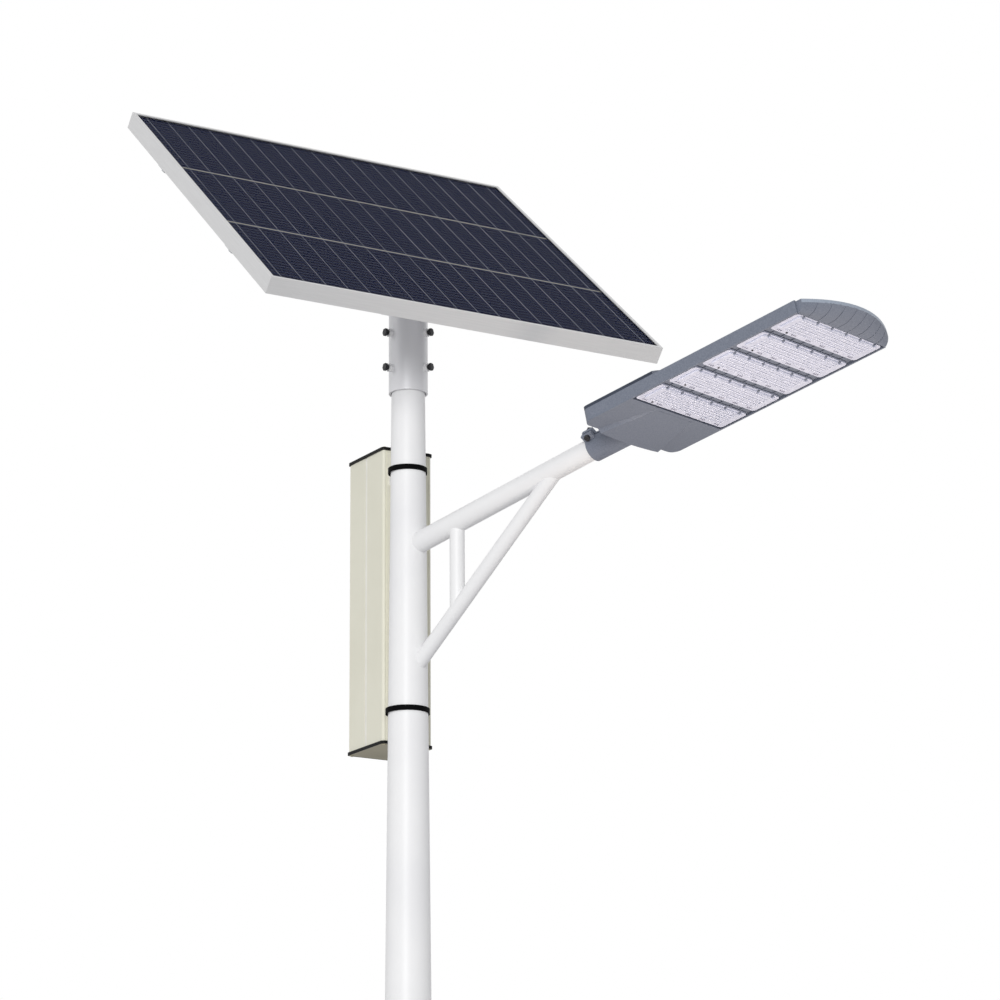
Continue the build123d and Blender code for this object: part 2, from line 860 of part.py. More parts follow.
def vertical_bolt(x, y, low, high):
    """Bolt from below, its head under the low face and its nut over the high one."""
    width = rail_bolt_diameter * hex_width_share
    shank = rod((x, y, low), (x, y, high + rail_bolt_diameter), rail_bolt_diameter / 2)
    head = hexagon(width, rail_bolt_diameter * hex_head_share, Plane((x, y, low), z_dir=(0, 0, -1)))
    nut = hexagon(width, rail_bolt_diameter * hex_nut_share, Plane((x, y, high), z_dir=(0, 0, 1)))
    return shank + head + nut


def rail_bolts():
    return group(
        in_tilt(vertical_bolt(x, y, spine_rise, spine_top + rail_wall)) for x, y in rail_bolt_places()
    )


def panel_clamp_bolts():
    return group(
        in_tilt(vertical_bolt(x, y, rail_top - rail_wall, frame_bottom + frame_wall))
        for x, y in clamp_bolt_places()
    )


# ================================================================ panel
def in_panel(shape):
    """Panel frame of reference: origin at the middle of the frame's underside."""
    return in_tilt(Pos(-panel_up_shift, panel_side_shift, frame_bottom) * shape)


glass_top = frame_height - glass_recess
glass_bottom = glass_top - glass_thickness
cell_top = glass_bottom - ribbon_thickness
cell_bottom = cell_top - cell_thickness
sheet_bottom = cell_bottom - backsheet_thickness
laminate_x = panel_width - 2 * (frame_wall + glass_side_gap)
laminate_y = panel_length - 2 * (frame_wall + glass_side_gap)


def frame_member(length, across):
    """Mitred frame extrusion with a lip over the glass, a ledge under it and a bolting flange."""
    half = across / 2
    profile = make_face(
        Polyline(
            (half, 0),
            (half - frame_flange, 0),
            (half - frame_flange, frame_wall),
            (half - frame_wall, frame_wall),
            (half - frame_wall, sheet_bottom - frame_wall),
            (half - frame_lip, sheet_bottom - frame_wall),
            (half - frame_lip, sheet_bottom),
            (half - frame_wall, sheet_bottom),
            (half - frame_wall, glass_top),
            (half - frame_lip, glass_top),
            (half - frame_lip, frame_height),
            (half, frame_height),
            close=True,
        )
    )
    member = extrude(Plane.XZ * profile, length / 2, both=True)
    end = length / 2
    mitre = make_face(Polyline((half, end), (half, -end), (0, half - end), (0, end - half), close=True))
    return member & extrude(mitre, frame_height * 2, both=True)


def panel_frame():
    long_member = frame_member(panel_length, panel_width)
    short_member = frame_member(panel_width, panel_length)
    hole = Cylinder(rail_bolt_diameter / 2 + bolt_clearance, 4 * frame_wall)
    bolts = [Pos(x + panel_up_shift, y - panel_side_shift, 0) * hole for x, y in clamp_bolt_places()]
    members = [
        long_member,
        Rot(0, 0, 180) * long_member,
        Rot(0, 0, 90) * short_member - bolts,
        Rot(0, 0, -90) * short_member - bolts,
    ]
    return group(in_panel(member) for member in members)


def sheet(low, high):
    return in_panel(bar((-laminate_x / 2, -laminate_y / 2, low), (laminate_x / 2, laminate_y / 2, high)))


def solar_cells():
    """Square cells in three rows down the slope, with the ribbons that join each column."""
    span_x = laminate_x - 2 * cell_border
    span_y = laminate_y - 2 * cell_border
    step_x, step_y = span_x / cell_rows, span_y / cell_columns
    cells = []
    for column in range(cell_columns):
        middle = -span_y / 2 + (column + 0.5) * step_y
        for row in range(cell_rows):
            x = -span_x / 2 + (row + 0.5) * step_x
            cell = Box(step_x - cell_row_gap, step_y - cell_column_gap, cell_thickness)
            cells.append(in_panel(Pos(x, middle, cell_top - cell_thickness / 2) * cell))
        for y in bar_places(ribbons_per_cell, step_y / ribbons_per_cell):
            low = (-span_x / 2, middle + y - ribbon_width / 2, cell_top)
            cells.append(in_panel(bar(low, (span_x / 2, middle + y + ribbon_width / 2, glass_bottom))))
    return group(cells)


junction_x = -junction_up


def junction_block(inset, low, high):
    """Block of the junction box's plan, shrunk by an inset, between two heights."""
    half_x, half_y = junction_width / 2 - inset, junction_length / 2 - inset
    return bar((junction_x - half_x, -half_y, low), (junction_x + half_x, half_y, high))


junction_edge = junction_x + junction_width / 2
junction_middle = sheet_bottom - junction_height / 2
junction_low = sheet_bottom - junction_height


def junction_rod(side, start, end, radius):
    """Rod along a gland's axis, measured from the junction box's downhill wall."""
    y = side * junction_length / 4
    return rod((junction_edge + start, y, junction_middle), (junction_edge + end, y, junction_middle), radius)


def junction_box():
    """Open-bottomed box bonded to the backsheet, with two gland holes downhill."""
    body = junction_block(0, junction_low, sheet_bottom)
    body = body - junction_block(junction_wall, 0, sheet_bottom - junction_wall)
    bore = gland_diameter / 2 + bolt_clearance
    for side in (-1, 1):
        body = body - junction_rod(side, -2 * junction_wall, gland_length, bore)
    return in_panel(body)


def junction_lid_plate():
    return in_panel(junction_block(0, junction_low - junction_lid, junction_low))


def junction_glands():
    """Two glands: a neck through the wall and a hexagon nut outside, bored for the panel's leads."""
    glands = []
    for side in (-1, 1):
        neck = junction_rod(side, -junction_wall, 0, gland_diameter / 2)
        origin = (junction_edge, side * junction_length / 4, junction_middle)
        nut = hexagon(gland_diameter * gland_nut_share, gland_length, Plane(origin=origin, z_dir=(1, 0, 0)))
        bore = junction_rod(side, -2 * junction_wall, 2 * gland_length, gland_bore / 2)
        glands.append(in_panel(neck + nut - bore))
    return group(glands)


# ================================================================ battery box
# Box frame: origin at the bottom cap's underside, in the middle of the face next to the pole; x points at
# the pole.
box_turn = Location((0, 0, box_bottom), (0, 0, head_yaw))
box_location = box_turn * Location((-box_face_distance, box_side_shift, 0))
shell_low = box_cap_thickness + box_gasket_thickness
shell_high = shell_low + box_shell_height
box_top = shell_high + box_gasket_thickness + box_cap_thickness
box_mid_x = -box_depth / 2
clamp_heights = (box_bottom + box_top - clamp_top_inset, box_bottom + clamp_bottom_inset)


def in_box(shape):
    return box_location * shape


def box_section(inset, low, high):
    """Rounded rectangle of the box's plan, shrunk by an inset, between two heights."""
    corner = max(box_corner_radius - inset, box_corner_least)
    face = RectangleRounded(box_depth - 2 * inset, box_width - 2 * inset, corner)
    return Pos(box_mid_x, 0, low) * extrude(face, high - low)


def at_corners(shape, height):
    """Copies of a shape on the four corner screws' axes at a height."""
    half_x, half_y = box_depth / 2 - box_screw_inset, box_width / 2 - box_screw_inset
    return [Pos(box_mid_x + sx * half_x, sy * half_y, height) * shape for sx in (-1, 1) for sy in (-1, 1)]


def battery_box_shell():
    """Extruded box body: a screw channel in each corner, a groove down both sides, two seams by the pole."""
    middle = (shell_low + shell_high) / 2
    outer = box_section(0, shell_low, shell_high)
    body = outer - box_section(box_wall, shell_low, shell_high)
    for boss in at_corners(Cylinder(box_screw_boss / 2, box_shell_height), middle):
        body = body + (boss & outer)
    for hole in at_corners(Cylinder(box_screw_diameter / 2 + bolt_clearance, 2 * box_shell_height), middle):
        body = body - hole
    groove = Box(box_groove_width, 2 * box_groove_depth, 2 * box_shell_height)
    seam = Box(2 * box_seam_depth, box_seam_width, 2 * box_shell_height)
    for side in (-1, 1):
        body = body - Pos(box_mid_x, side * box_width / 2, middle) * groove
        body = body - Pos(0, side * (box_width / 2 - box_seam_inset), middle) * seam
    return in_box(body)


def box_cap(low, high, spigot_low, spigot_high):
    """End plate as wide as the extrusion, with a spigot inside it."""
    inset = box_wall + box_cap_fit
    spigot = box_section(inset, spigot_low, spigot_high)
    spigot = spigot - box_section(inset + box_wall, spigot_low, spigot_high)
    for relief in at_corners(Cylinder(box_screw_boss / 2 + box_cap_fit, 4 * box_cap_thickness), spigot_low):
        spigot = spigot - relief
    cap = box_section(0, low, high) + spigot
    for hole in at_corners(Cylinder(box_screw_diameter / 2 + bolt_clearance, 4 * box_cap_thickness), low):
        cap = cap - hole
    return cap


def battery_box_bottom_cap():
    cap = box_cap(0, box_cap_thickness, box_cap_thickness, shell_low + box_cap_spigot)
    hole = Pos(box_mid_x, box_gland_side, 0) * Cylinder(box_gland_diameter / 2, 4 * box_cap_thickness)
    return in_box(cap - hole)


def battery_box_top_cap():
    seat = box_top - box_cap_thickness
    return in_box(box_cap(seat, box_top, shell_high - box_cap_spigot, seat))


def box_cap_gaskets():
    """Rubber edge trims: a flat ring under each end plate and a rim round the plate's edge."""
    rings = []
    for low, trim_low in ((box_cap_thickness, 0), (shell_high, shell_high)):
        high = low + box_gasket_thickness
        ring = box_section(0, low, high) - box_section(box_gasket_width, low - 1, high + 1)
        trim_high = trim_low + box_cap_thickness + box_gasket_thickness
        trim = box_section(-box_trim_overhang, trim_low, trim_high)
        rings.append(in_box(ring + (trim - box_section(0, trim_low - 1, trim_high + 1))))
    return group(rings)


def box_cap_screws():
    """Four screws down through the top cap and four up through the bottom one."""
    pieces = []
    for height, facing in ((0, -1), (box_top, 1)):
        place = Plane(origin=(0, 0, 0), x_dir=(1, 0, 0), z_dir=(0, 0, facing))
        one = screw(box_screw_diameter, box_screw_length, box_screw_head, box_screw_head_height, place)
        pieces.extend(in_box(piece) for piece in at_corners(one, height))
    return group(pieces)


def box_cable_gland():
    """Bored gland in the bottom cap: nut below, neck through it and lock ring above."""
    width = box_gland_diameter * gland_nut_share
    below = Plane(origin=(box_mid_x, box_gland_side, 0), z_dir=(0, 0, -1))
    above = Plane(origin=(box_mid_x, box_gland_side, box_cap_thickness), z_dir=(0, 0, 1))
    neck = extrude(below * Circle(box_gland_diameter / 2), -box_cap_thickness)
    body = hexagon(width, gland_length, below) + neck + hexagon(width, box_gland_ring, above)
    bore = Cylinder(box_gland_bore / 2, 6 * gland_length)
    return in_box(body - Pos(box_mid_x, box_gland_side, 0) * bore)


battery_low = box_cap_thickness + battery_stand
controller_low = shell_high - controller_top_gap - controller_height
battery_height = controller_low - controller_gap - battery_low


def battery_pack():
    """Wrapped battery with its terminal end up, standing on the tray."""
    block = Box(battery_depth, battery_width, battery_height)
    block = fillet(block.edges().filter_by(Axis.Z), box_corner_radius)
    return in_box(Pos(box_mid_x, 0, battery_low + battery_height / 2) * block)


def battery_tray():
    """Shelf on two feet that lifts the battery clear of the gland."""
    half_x, half_y = battery_depth / 2, battery_width / 2
    shelf_low = battery_low - box_wall
    body = bar((box_mid_x - half_x, -half_y, shelf_low), (box_mid_x + half_x, half_y, battery_low))
    for side in (-1, 1):
        x = box_mid_x + side * (half_x - tray_foot_width / 2)
        foot_low = (x - tray_foot_width / 2, -half_y, box_cap_thickness)
        body = body + bar(foot_low, (x + tray_foot_width / 2, half_y, shelf_low))
    return in_box(body)


def charge_controller():
    """Potted controller with cooling ribs, screwed to the wall away from the pole."""
    wall_x = box_wall - box_depth
    front = wall_x + controller_depth
    half = controller_width / 2
    body = bar((wall_x, -half, controller_low), (front, half, controller_low + controller_height))
    body = fillet(body.edges().filter_by(Axis.X), controller_corner)
    low = controller_low + controller_rib_margin
    high = controller_low + controller_height - controller_rib_margin
    for index in range(controller_rib_count):
        y = (index - (controller_rib_count - 1) / 2) * controller_rib_pitch
        half = controller_rib_width / 2
        body = body + bar((front, y - half, low), (front + controller_rib_height, y + half, high))
    return in_box(body)


# ================================================================ box clamps
def saddle(height):
    """Cast saddle between the pole and the box face, with a slot for the band."""
    low, high = height - saddle_height / 2, height + saddle_height / 2
    block = bar((-box_face_distance, -saddle_width / 2, low), (0, saddle_width / 2, high))
    block = Rot(0, 0, head_yaw) * block - pole_cone(-saddle_fit, low - 1, high + 1)
    return block - band_ring(height, band_slot_gap)


def band_centre():
    back = Vector(-1, 0, 0).rotate(Axis.Z, head_yaw)
    return back * band_slack


def band_radius(height):
    """Inside radius of a band at its own height."""
    return pole_radius(height - band_width / 2) + band_slack + saddle_fit


def band_ring(height, grow=0.0):
    """Flat band, set back so that it bears on the pole's front and runs behind the saddle's face."""
    inner = band_radius(height)
    ring = Cylinder(inner + band_thickness + grow, band_width + 2 * grow)
    ring = ring - Cylinder(inner - grow, 2 * band_width)
    return Pos(band_centre() + Vector(0, 0, height)) * ring


def box_saddles():
    return group(saddle(height) for height in clamp_heights)


def band_buckle(height):
    """Worm-drive housing with its screw, on the band's far side."""
    outward = Vector(0, 1, 0).rotate(Axis.Z, head_yaw + band_buckle_angle)
    along = Vector(-outward.Y, outward.X, 0)
    stand = band_radius(height) + band_thickness + bolt_clearance
    seat = band_centre() + outward * stand + Vector(0, 0, height)
    place = Plane(origin=seat, x_dir=along, z_dir=outward)
    block = extrude(place * Rectangle(band_buckle_length, band_buckle_width), band_buckle_height)
    middle = seat + outward * (band_buckle_height / 2)
    end = middle + along * (band_screw_length / 2)
    worm = rod(middle - along * (band_screw_length / 2), end, band_screw_diameter / 2)
    head_width = band_screw_diameter * hex_width_share
    head = hexagon(head_width, band_screw_diameter * hex_nut_share, Plane(origin=end, z_dir=along))
    return block + worm + head


def band_buckles():
    return group(band_buckle(height) for height in clamp_heights)


# ================================================================ lamp head
head_location = Location((0, 0, arm_height), (0, -arm_tilt, 0))
cover_top_edge = head_top + cover_edge_height
cover_crown = head_top + cover_centre_height
inner_half = head_half_width - head_wall


def in_head(shape):
    return head_location * shape


def head_plan(inset, start, end, low, high):
    """Plan of the housing, rounded at the pole end, between two heights."""
    radius = max(head_corner_radius - inset, head_corner_least)
    half = head_half_width - inset
    body = bar((start + inset, -half, low), (end, half, high))
    upright = body.edges().filter_by(Axis.Z)
    return fillet(upright.group_by(Axis.X)[0], radius)


def bulge(inset):
    """Shallow belly under the driver bay that runs out towards the first module."""
    sections = []
    for distance, half, depth in (
        (head_start + inset, bulge_half_width_start, bulge_depth),
        (bulge_end - inset, bulge_half_width_end, bulge_run_out),
    ):
        top = head_bottom + bulge_overlap + inset
        low = head_bottom - depth + inset
        side = low + depth * bulge_shoulder
        width = half - inset
        with BuildSketch(Plane(origin=(distance, 0, 0), x_dir=(0, 1, 0), z_dir=(1, 0, 0))) as face:
            with BuildLine():
                Line((-width, top), (width, top))
                Line((width, top), (width - bulge_flank, side))
                ThreePointArc((width - bulge_flank, side), (0, low), (-width + bulge_flank, side))
                Line((-width + bulge_flank, side), (-width, top))
            make_face()
        sections.append(face.sketch)
    return loft(sections)


def cooling_fin(y):
    """Upright fin on the deck, lower towards the head's sides and sloped at both ends."""
    top = fin_edge_top + (fin_centre_top - fin_edge_top) * (1 - (y / head_half_width) ** 2)
    corners = [
        (fin_start, deck_top - fin_root),
        (fin_start, deck_top + fin_foot),
        (fin_start + fin_slope_length, top),
        (head_end - fin_end_slope, top),
        (head_end, deck_top + fin_end_height),
        (head_end, deck_top - fin_root),
    ]
    outline = Plane.XZ.offset(-y) * make_face(Polyline(*corners, close=True))
    return extrude(outline, fin_thickness / 2, both=True)


def gap_ribs():
    """Low ribs under the deck in the gaps before, between and after the modules."""
    ribs = []
    for index in range(module_count + 1):
        place = module_start + index * module_pitch
        low = max(place - (module_pitch - module_width) + rib_end_gap, floor_end)
        high = min(place - rib_end_gap, head_end)
        for y in bar_places(rib_count, rib_pitch):
            half = rib_width / 2
            ribs.append(bar((low, y - half, deck_bottom - rib_depth), (high, y + half, deck_bottom)))
    return ribs


clamp_turn = Rot(clamp_angle - 90, 0, 0)
clamp_middle = Vector(collar_start + clamp_ear_length / 2, 0, (collar_od + clamp_ear_height) / 2)
clamp_half = Vector(0, clamp_slot / 2 + clamp_ear_thickness, 0)


def collar():
    """Split collar with two ears, its top cut level with the bay's rim inside the housing."""
    end = head_start + collar_inside
    body = rod((collar_start, 0, 0), (end, 0, 0), collar_od / 2)
    body = body - bar((head_start, -collar_od, head_top), (end + 1, collar_od, collar_od))
    ear_low = (collar_start, -clamp_half.Y, arm_od / 2 + collar_fit)
    ear_high = (collar_start + clamp_ear_length, clamp_half.Y, collar_od / 2 + clamp_ear_height)
    return body + clamp_turn * bar(ear_low, ear_high)


def collar_slot():
    """Cut through the collar and between its ears."""
    half = clamp_slot / 2
    slot = bar((collar_start - 1, -half, 0), (collar_start + clamp_slot_length, half, collar_od))
    reach = clamp_half * 2
    bolt = rod(clamp_middle - reach, clamp_middle + reach, clamp_bolt_diameter / 2 + bolt_clearance)
    return clamp_turn * (slot + bolt)


def lamp_housing():
    """Cast housing: driver bay, module deck with fins, side walls and the collar that grips the arm."""
    shell = head_plan(0, head_start, head_end, head_bottom, head_top)
    bay = head_plan(head_wall, head_start, cover_end - head_wall, head_bottom + floor_wall, head_top + 1)
    half = inner_half + 1
    bay_floor = bar((floor_end - head_wall, -half, head_bottom), (cover_end, half, deck_top))
    body = shell - (bay - bay_floor)
    body = body - bar((cover_end, -inner_half, deck_top), (head_end + 1, inner_half, head_top + 1))
    body = body - bar((floor_end, -inner_half, head_bottom - 1), (head_end + 1, inner_half, deck_bottom))
    body = body + bulge(0) - bulge(floor_wall)
    for y in bar_places(fin_count, fin_pitch):
        body = body + cooling_fin(y)
    body = body + gap_ribs() + collar() - collar_slot()
    bore_end = (head_start + collar_inside + 1, 0, 0)
    body = body - rod((collar_start - 1, 0, 0), bore_end, arm_od / 2 + collar_fit)
    hole = Cylinder(cover_screw_diameter / 2 + cover_screw_gap, 2 * (cover_screw_grip + cover_screw_gap))
    for x, y in cover_screw_places():
        boss = Pos(x, y, 0) * Cylinder(cover_screw_head / 2 + cover_boss_wall, 2 * head_top)
        boss = boss & head_plan(0, head_start, cover_end, deck_top, head_top)
        body = body + boss - Pos(x, y, head_top) * hole
    for low, high in fixed_knuckles():
        body = body + cover_knuckle(low, high, -1)
    return in_head(body)


def collar_clamp_bolt():
    start, end = clamp_middle - clamp_half, clamp_middle + clamp_half
    width = clamp_bolt_diameter * hex_width_share
    shank = rod(start, end + Vector(0, clamp_bolt_diameter, 0), clamp_bolt_diameter / 2)
    head = hexagon(width, clamp_bolt_diameter * hex_head_share, Plane(origin=start, z_dir=(0, -1, 0)))
    nut = hexagon(width, clamp_bolt_diameter * hex_nut_share, Plane(origin=end, z_dir=(0, 1, 0)))
    return in_head(clamp_turn * (shank + head + nut))


# ================================================================ modules
def module_places():
    return [module_start + index * module_pitch for index in range(module_count)]


def at_modules(make):
    return group(in_head(Pos(place, 0, 0) * make()) for place in module_places())


def module_block(inset, low, high):
    """Plate of the module's plan, shrunk by an inset, with its pole-side edge at x = 0."""
    half = module_length / 2 - inset
    return bar((inset, -half, low), (module_width - inset, half, high))


def module_screw_places():
    x = module_width - module_screw_inset
    return [(x, y) for y in bar_places(module_screw_count, module_length / module_screw_count)]


def six_sided(width, low, high):
    """Upright hexagon bar between two heights."""
    return hexagon(width, high - low, Plane.XY.offset(low))


def led_lens():
    """Moulded lens plate with a pocket for the board, a raised lens field and screw notches."""
    rim_top = deck_bottom - gasket_thickness
    plate = module_block(0, lens_bottom, rim_top)
    plate = fillet(plate.edges().filter_by(Axis.Z), module_corner_radius)
    pocket = module_block(gasket_inset + gasket_width, rim_top - lens_pocket_depth, rim_top + 1)
    half_y = module_length / 2 - lens_end_margin
    far_x = module_width - lens_far_margin
    field = bar((lens_near_margin, -half_y, lens_bottom - lens_raise), (far_x, half_y, lens_bottom))
    field = chamfer(field.edges().filter_by(Axis.Z), lens_corner_cut)
    field = chamfer(field.faces().sort_by(Axis.Z)[0].edges(), lens_chamfer)
    body = plate - pocket + field
    half = module_notch / 2
    low, high = lens_bottom - 2 * lens_raise, lens_bottom + module_screw_floor
    hole = six_sided(module_screw_diameter + 2 * module_screw_gap, low, deck_bottom)
    for x, y in module_screw_places():
        notch = bar((module_width - module_notch_depth, y - half, low), (module_width + 1, y + half, high))
        body = body - notch - Pos(x, y, 0) * hole
    return body


def led_board():
    return module_block(board_margin, deck_bottom - board_thickness, deck_bottom)


def module_gasket():
    """Square rubber ring between the lens plate and the deck, inside the screws."""
    low, high = deck_bottom - gasket_thickness, deck_bottom
    window = module_block(gasket_inset + gasket_width, low - 1, high + 1)
    return module_block(gasket_inset, low, high) - window


def module_screws():
    """Six-sided screws in the lens notches, down to the deck."""
    seat = lens_bottom + module_screw_floor
    shank = six_sided(module_screw_diameter, seat, deck_bottom)
    one = shank + six_sided(module_screw_head, seat - module_screw_head_height, seat)
    return group(
        in_head(Pos(start + x, y, 0) * one) for start in module_places() for x, y in module_screw_places()
    )


# ================================================================ nose
def nose_section(y, inset):
    """Lengthwise section of the nose at one place across the head."""
    share = (y / (head_half_width - nose_side_gap)) ** 2
    reach = nose_reach_centre + (nose_reach_side - nose_reach_centre) * share
    flat = reach * nose_flat_share
    start = head_end
    low, rim = head_bottom + inset, nose_rim_bottom
    end = start + reach - inset
    top = nose_rim_top + (nose_skin if inset else 0)
    middle_x = start + flat + (end - start - flat) * nose_bend_reach
    middle_z = low + (rim - low) * nose_bend_rise
    with BuildSketch(Plane(origin=(0, y, 0), x_dir=(1, 0, 0), z_dir=(0, -1, 0))) as face:
        with BuildLine():
            Line((start, top), (start, low))
            Line((start, low), (start + flat, low))
            ThreePointArc((start + flat, low), (middle_x, middle_z), (end, rim))
            Line((end, rim), (end, top))
            Line((end, top), (start, top))
        make_face()
    return face.sketch


def nose_body(inset):
    """Nose as a solid loft across the head, shrunk by an inset for its hollow."""
    half = head_half_width - nose_side_gap - inset
    steps = [half * (2 * index / (nose_sections - 1) - 1) for index in range(nose_sections)]
    return loft([nose_section(y, inset) for y in steps])


def front_nose():
    """Nose casting: an open tray with a groove underneath in line with each deck rib."""
    outer = nose_body(0)
    body = outer - nose_body(nose_skin)
    skin = outer - Pos(0, 0, nose_groove_depth) * outer
    half = nose_groove_width / 2
    for y in bar_places(rib_count, rib_pitch):
        low = (head_end + nose_groove_width, y - half, 2 * head_bottom)
        slab = bar(low, (head_end + 2 * nose_reach_centre, y + half, nose_rim_bottom))
        body = body - (slab & skin)
    return in_head(body)


# ================================================================ driver cover
def cover_section(inset, low):
    """Arched section of the cover across the head, from a height up."""
    half = head_half_width - inset
    edge = cover_top_edge - inset
    with BuildSketch(Plane(origin=(head_start, 0, 0), x_dir=(0, 1, 0), z_dir=(1, 0, 0))) as face:
        with BuildLine():
            Line((-half, low), (half, low))
            Line((half, low), (half, edge))
            ThreePointArc((half, edge), (0, cover_crown - inset), (-half, edge))
            Line((-half, edge), (-half, low))
        make_face()
    return face.sketch


pin_out = head_half_width + cover_pin_out
pin_rise = head_top
hinge_centres = (head_start + head_corner_radius + cover_hinge_inset, cover_end - cover_hinge_inset)


def cover_knuckle(low, high, side):
    """Barrel of the cover hinge on the +Y side, with its web up to the cover or down to the wall."""
    outer = cover_pin_diameter / 2 + cover_knuckle_wall
    barrel = rod((low, pin_out, pin_rise), (high, pin_out, pin_rise), outer)
    web = bar((low, head_half_width - 1, 0), (high, pin_out, cover_knuckle_wall))
    web = Pos(0, 0, pin_rise - outer if side < 0 else pin_rise + outer - cover_knuckle_wall) * web
    bore = cover_pin_diameter / 2 + bolt_clearance
    return barrel + web - rod((low - 1, pin_out, pin_rise), (high + 1, pin_out, pin_rise), bore)


def fixed_knuckles():
    """Spans of the housing's barrels: one at each hinge."""
    spans = []
    for centre in hinge_centres:
        spans.append((centre - cover_knuckle_length / 2, centre - cover_knuckle_gap / 2))
    return spans


def moving_knuckles():
    """Spans of the cover's barrels, one beside each fixed one."""
    spans = []
    for centre in hinge_centres:
        spans.append((centre + cover_knuckle_gap / 2, centre + cover_knuckle_length / 2))
    return spans


def cover_screw_places():
    inset = head_wall + cover_screw_head / 2
    y = inset - head_half_width
    return [(head_start + head_corner_radius + inset, y), (cover_end - inset - cover_screw_end_margin, y)]


def driver_cover():
    """Arched lid over the driver bay, notched for the collar and hinged on its +Y side."""
    length = cover_end - head_start
    outer = extrude(cover_section(0, head_top), length)
    outer = outer & head_plan(0, head_start, cover_end, head_top, cover_crown)
    inner = extrude(cover_section(cover_thickness, 0), length)
    inner = inner & head_plan(cover_thickness, head_start, cover_end - cover_thickness, 0, cover_crown)
    body = outer - inner
    up = (Align.CENTER, Align.CENTER, Align.MIN)
    post = Cylinder(cover_screw_head / 2 + cover_post_wall, cover_crown, align=up)
    hole = Cylinder(cover_screw_diameter / 2 + bolt_clearance, cover_crown, align=up)
    counterbore = Cylinder(cover_screw_head / 2 + cover_screw_gap, cover_crown, align=up)
    for x, y in cover_screw_places():
        body = body + (Pos(x, y, head_top) * post & outer)
        body = body - Pos(x, y, head_top) * hole - Pos(x, y, cover_top_edge) * counterbore
    for low, high in moving_knuckles():
        body = body + cover_knuckle(low, high, 1)
    clear = collar_od / 2 + cover_collar_gap
    body = body - rod((head_start - 1, 0, 0), (head_start + 2 * collar_inside, 0, 0), clear)
    return in_head(body)


def cover_hinge_pins():
    half = cover_knuckle_length / 2 + cover_pin_overhang
    radius = cover_pin_diameter / 2
    return group(
        in_head(rod((centre - half, pin_out, pin_rise), (centre + half, pin_out, pin_rise), radius))
        for centre in hinge_centres
    )


def cover_screws():
    pieces = []
    for x, y in cover_screw_places():
        place = Plane(origin=(x, y, cover_top_edge), x_dir=(1, 0, 0), z_dir=(0, 0, 1))
        length = cover_edge_height + cover_screw_grip
        one = screw(cover_screw_diameter, length, cover_screw_head, cover_screw_head_height, place)
        pieces.append(in_head(one))
    return group(pieces)


bay_floor_top = head_bottom + floor_wall


def led_driver():
    """Potted power supply on the bay's floor."""
    start = head_start + driver_distance
    half = driver_length / 2
    block = bar((start, -half, bay_floor_top), (start + driver_width, half, bay_floor_top + driver_height))
    return in_head(fillet(block.edges().filter_by(Axis.Z), driver_corner_radius))


def terminal_block():
    """Screw terminals beside the driver, with a wire entry for each pole."""
    start = head_start + driver_distance + driver_width + terminal_gap
    half = terminal_length / 2
    top = bay_floor_top + terminal_height
    block = bar((start, -half, bay_floor_top), (start + terminal_width, half, top))
    half = terminal_notch_width / 2
    for y in bar_places(terminal_count, terminal_pitch):
        low = (start - 1, y - half, top - terminal_notch_depth)
        block = block - bar(low, (start + terminal_width / 2, y + half, top + 1))
    return in_head(block)


nodes = {
    "base_flange": base_flange,
    "base_gussets": base_gussets,
    "pole_shaft": pole_shaft,
    "handhole_frame": handhole_frame,
    "handhole_door": handhole_door,
    "door_hinge_knuckles": door_hinge_knuckles,
    "door_hinge_pin": door_hinge_pin,
    "door_lock": door_lock,
    "earth_stud": earth_stud,
    "arm_tube": arm_tube,
    "brace_tube": brace_tube,
    "strut_tube": strut_tube,
    "bracket_sleeve": bracket_sleeve,
    "weld_nuts": lambda: around_sleeve(weld_nut),
    "set_bolts": lambda: around_sleeve(set_bolt),
    "support_spine": support_spine,
    "tilt_bolt": tilt_bolt,
    "tilt_nut": tilt_nut,
    "tilt_lock_bolt": tilt_lock_bolt,
    "tilt_lock_nut": tilt_lock_nut,
    "panel_rails": panel_rails,
    "rail_bolts": rail_bolts,
    "panel_clamp_bolts": panel_clamp_bolts,
    "panel_frame": panel_frame,
    "panel_glass": lambda: sheet(glass_bottom, glass_top),
    "solar_cells": solar_cells,
    "panel_backsheet": lambda: sheet(sheet_bottom, cell_bottom),
    "junction_box": junction_box,
    "junction_lid": junction_lid_plate,
    "junction_glands": junction_glands,
    "battery_box_shell": battery_box_shell,
    "battery_box_top_cap": battery_box_top_cap,
    "battery_box_bottom_cap": battery_box_bottom_cap,
    "box_cap_gaskets": box_cap_gaskets,
    "box_cap_screws": box_cap_screws,
    "box_cable_gland": box_cable_gland,
    "battery_pack": battery_pack,
    "battery_tray": battery_tray,
    "charge_controller": charge_controller,
    "box_saddles": box_saddles,
    "upper_band": lambda: band_ring(clamp_heights[0]),
    "lower_band": lambda: band_ring(clamp_heights[1]),
    "band_buckles": band_buckles,
    "lamp_housing": lamp_housing,
    "collar_clamp_bolt": collar_clamp_bolt,
    "front_nose": front_nose,
    "led_lenses": lambda: at_modules(led_lens),
    "led_boards": lambda: at_modules(led_board),
    "module_gaskets": lambda: at_modules(module_gasket),
    "module_screws": module_screws,
    "driver_cover": driver_cover,
    "cover_hinge_pins": cover_hinge_pins,
    "cover_screws": cover_screws,
    "led_driver": led_driver,
    "terminal_block": terminal_block,
}

for name, make in nodes.items():
    write(name, make())
    print("wrote", name)
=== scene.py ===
import bpy
import json
import math
from mathutils import Matrix, Vector


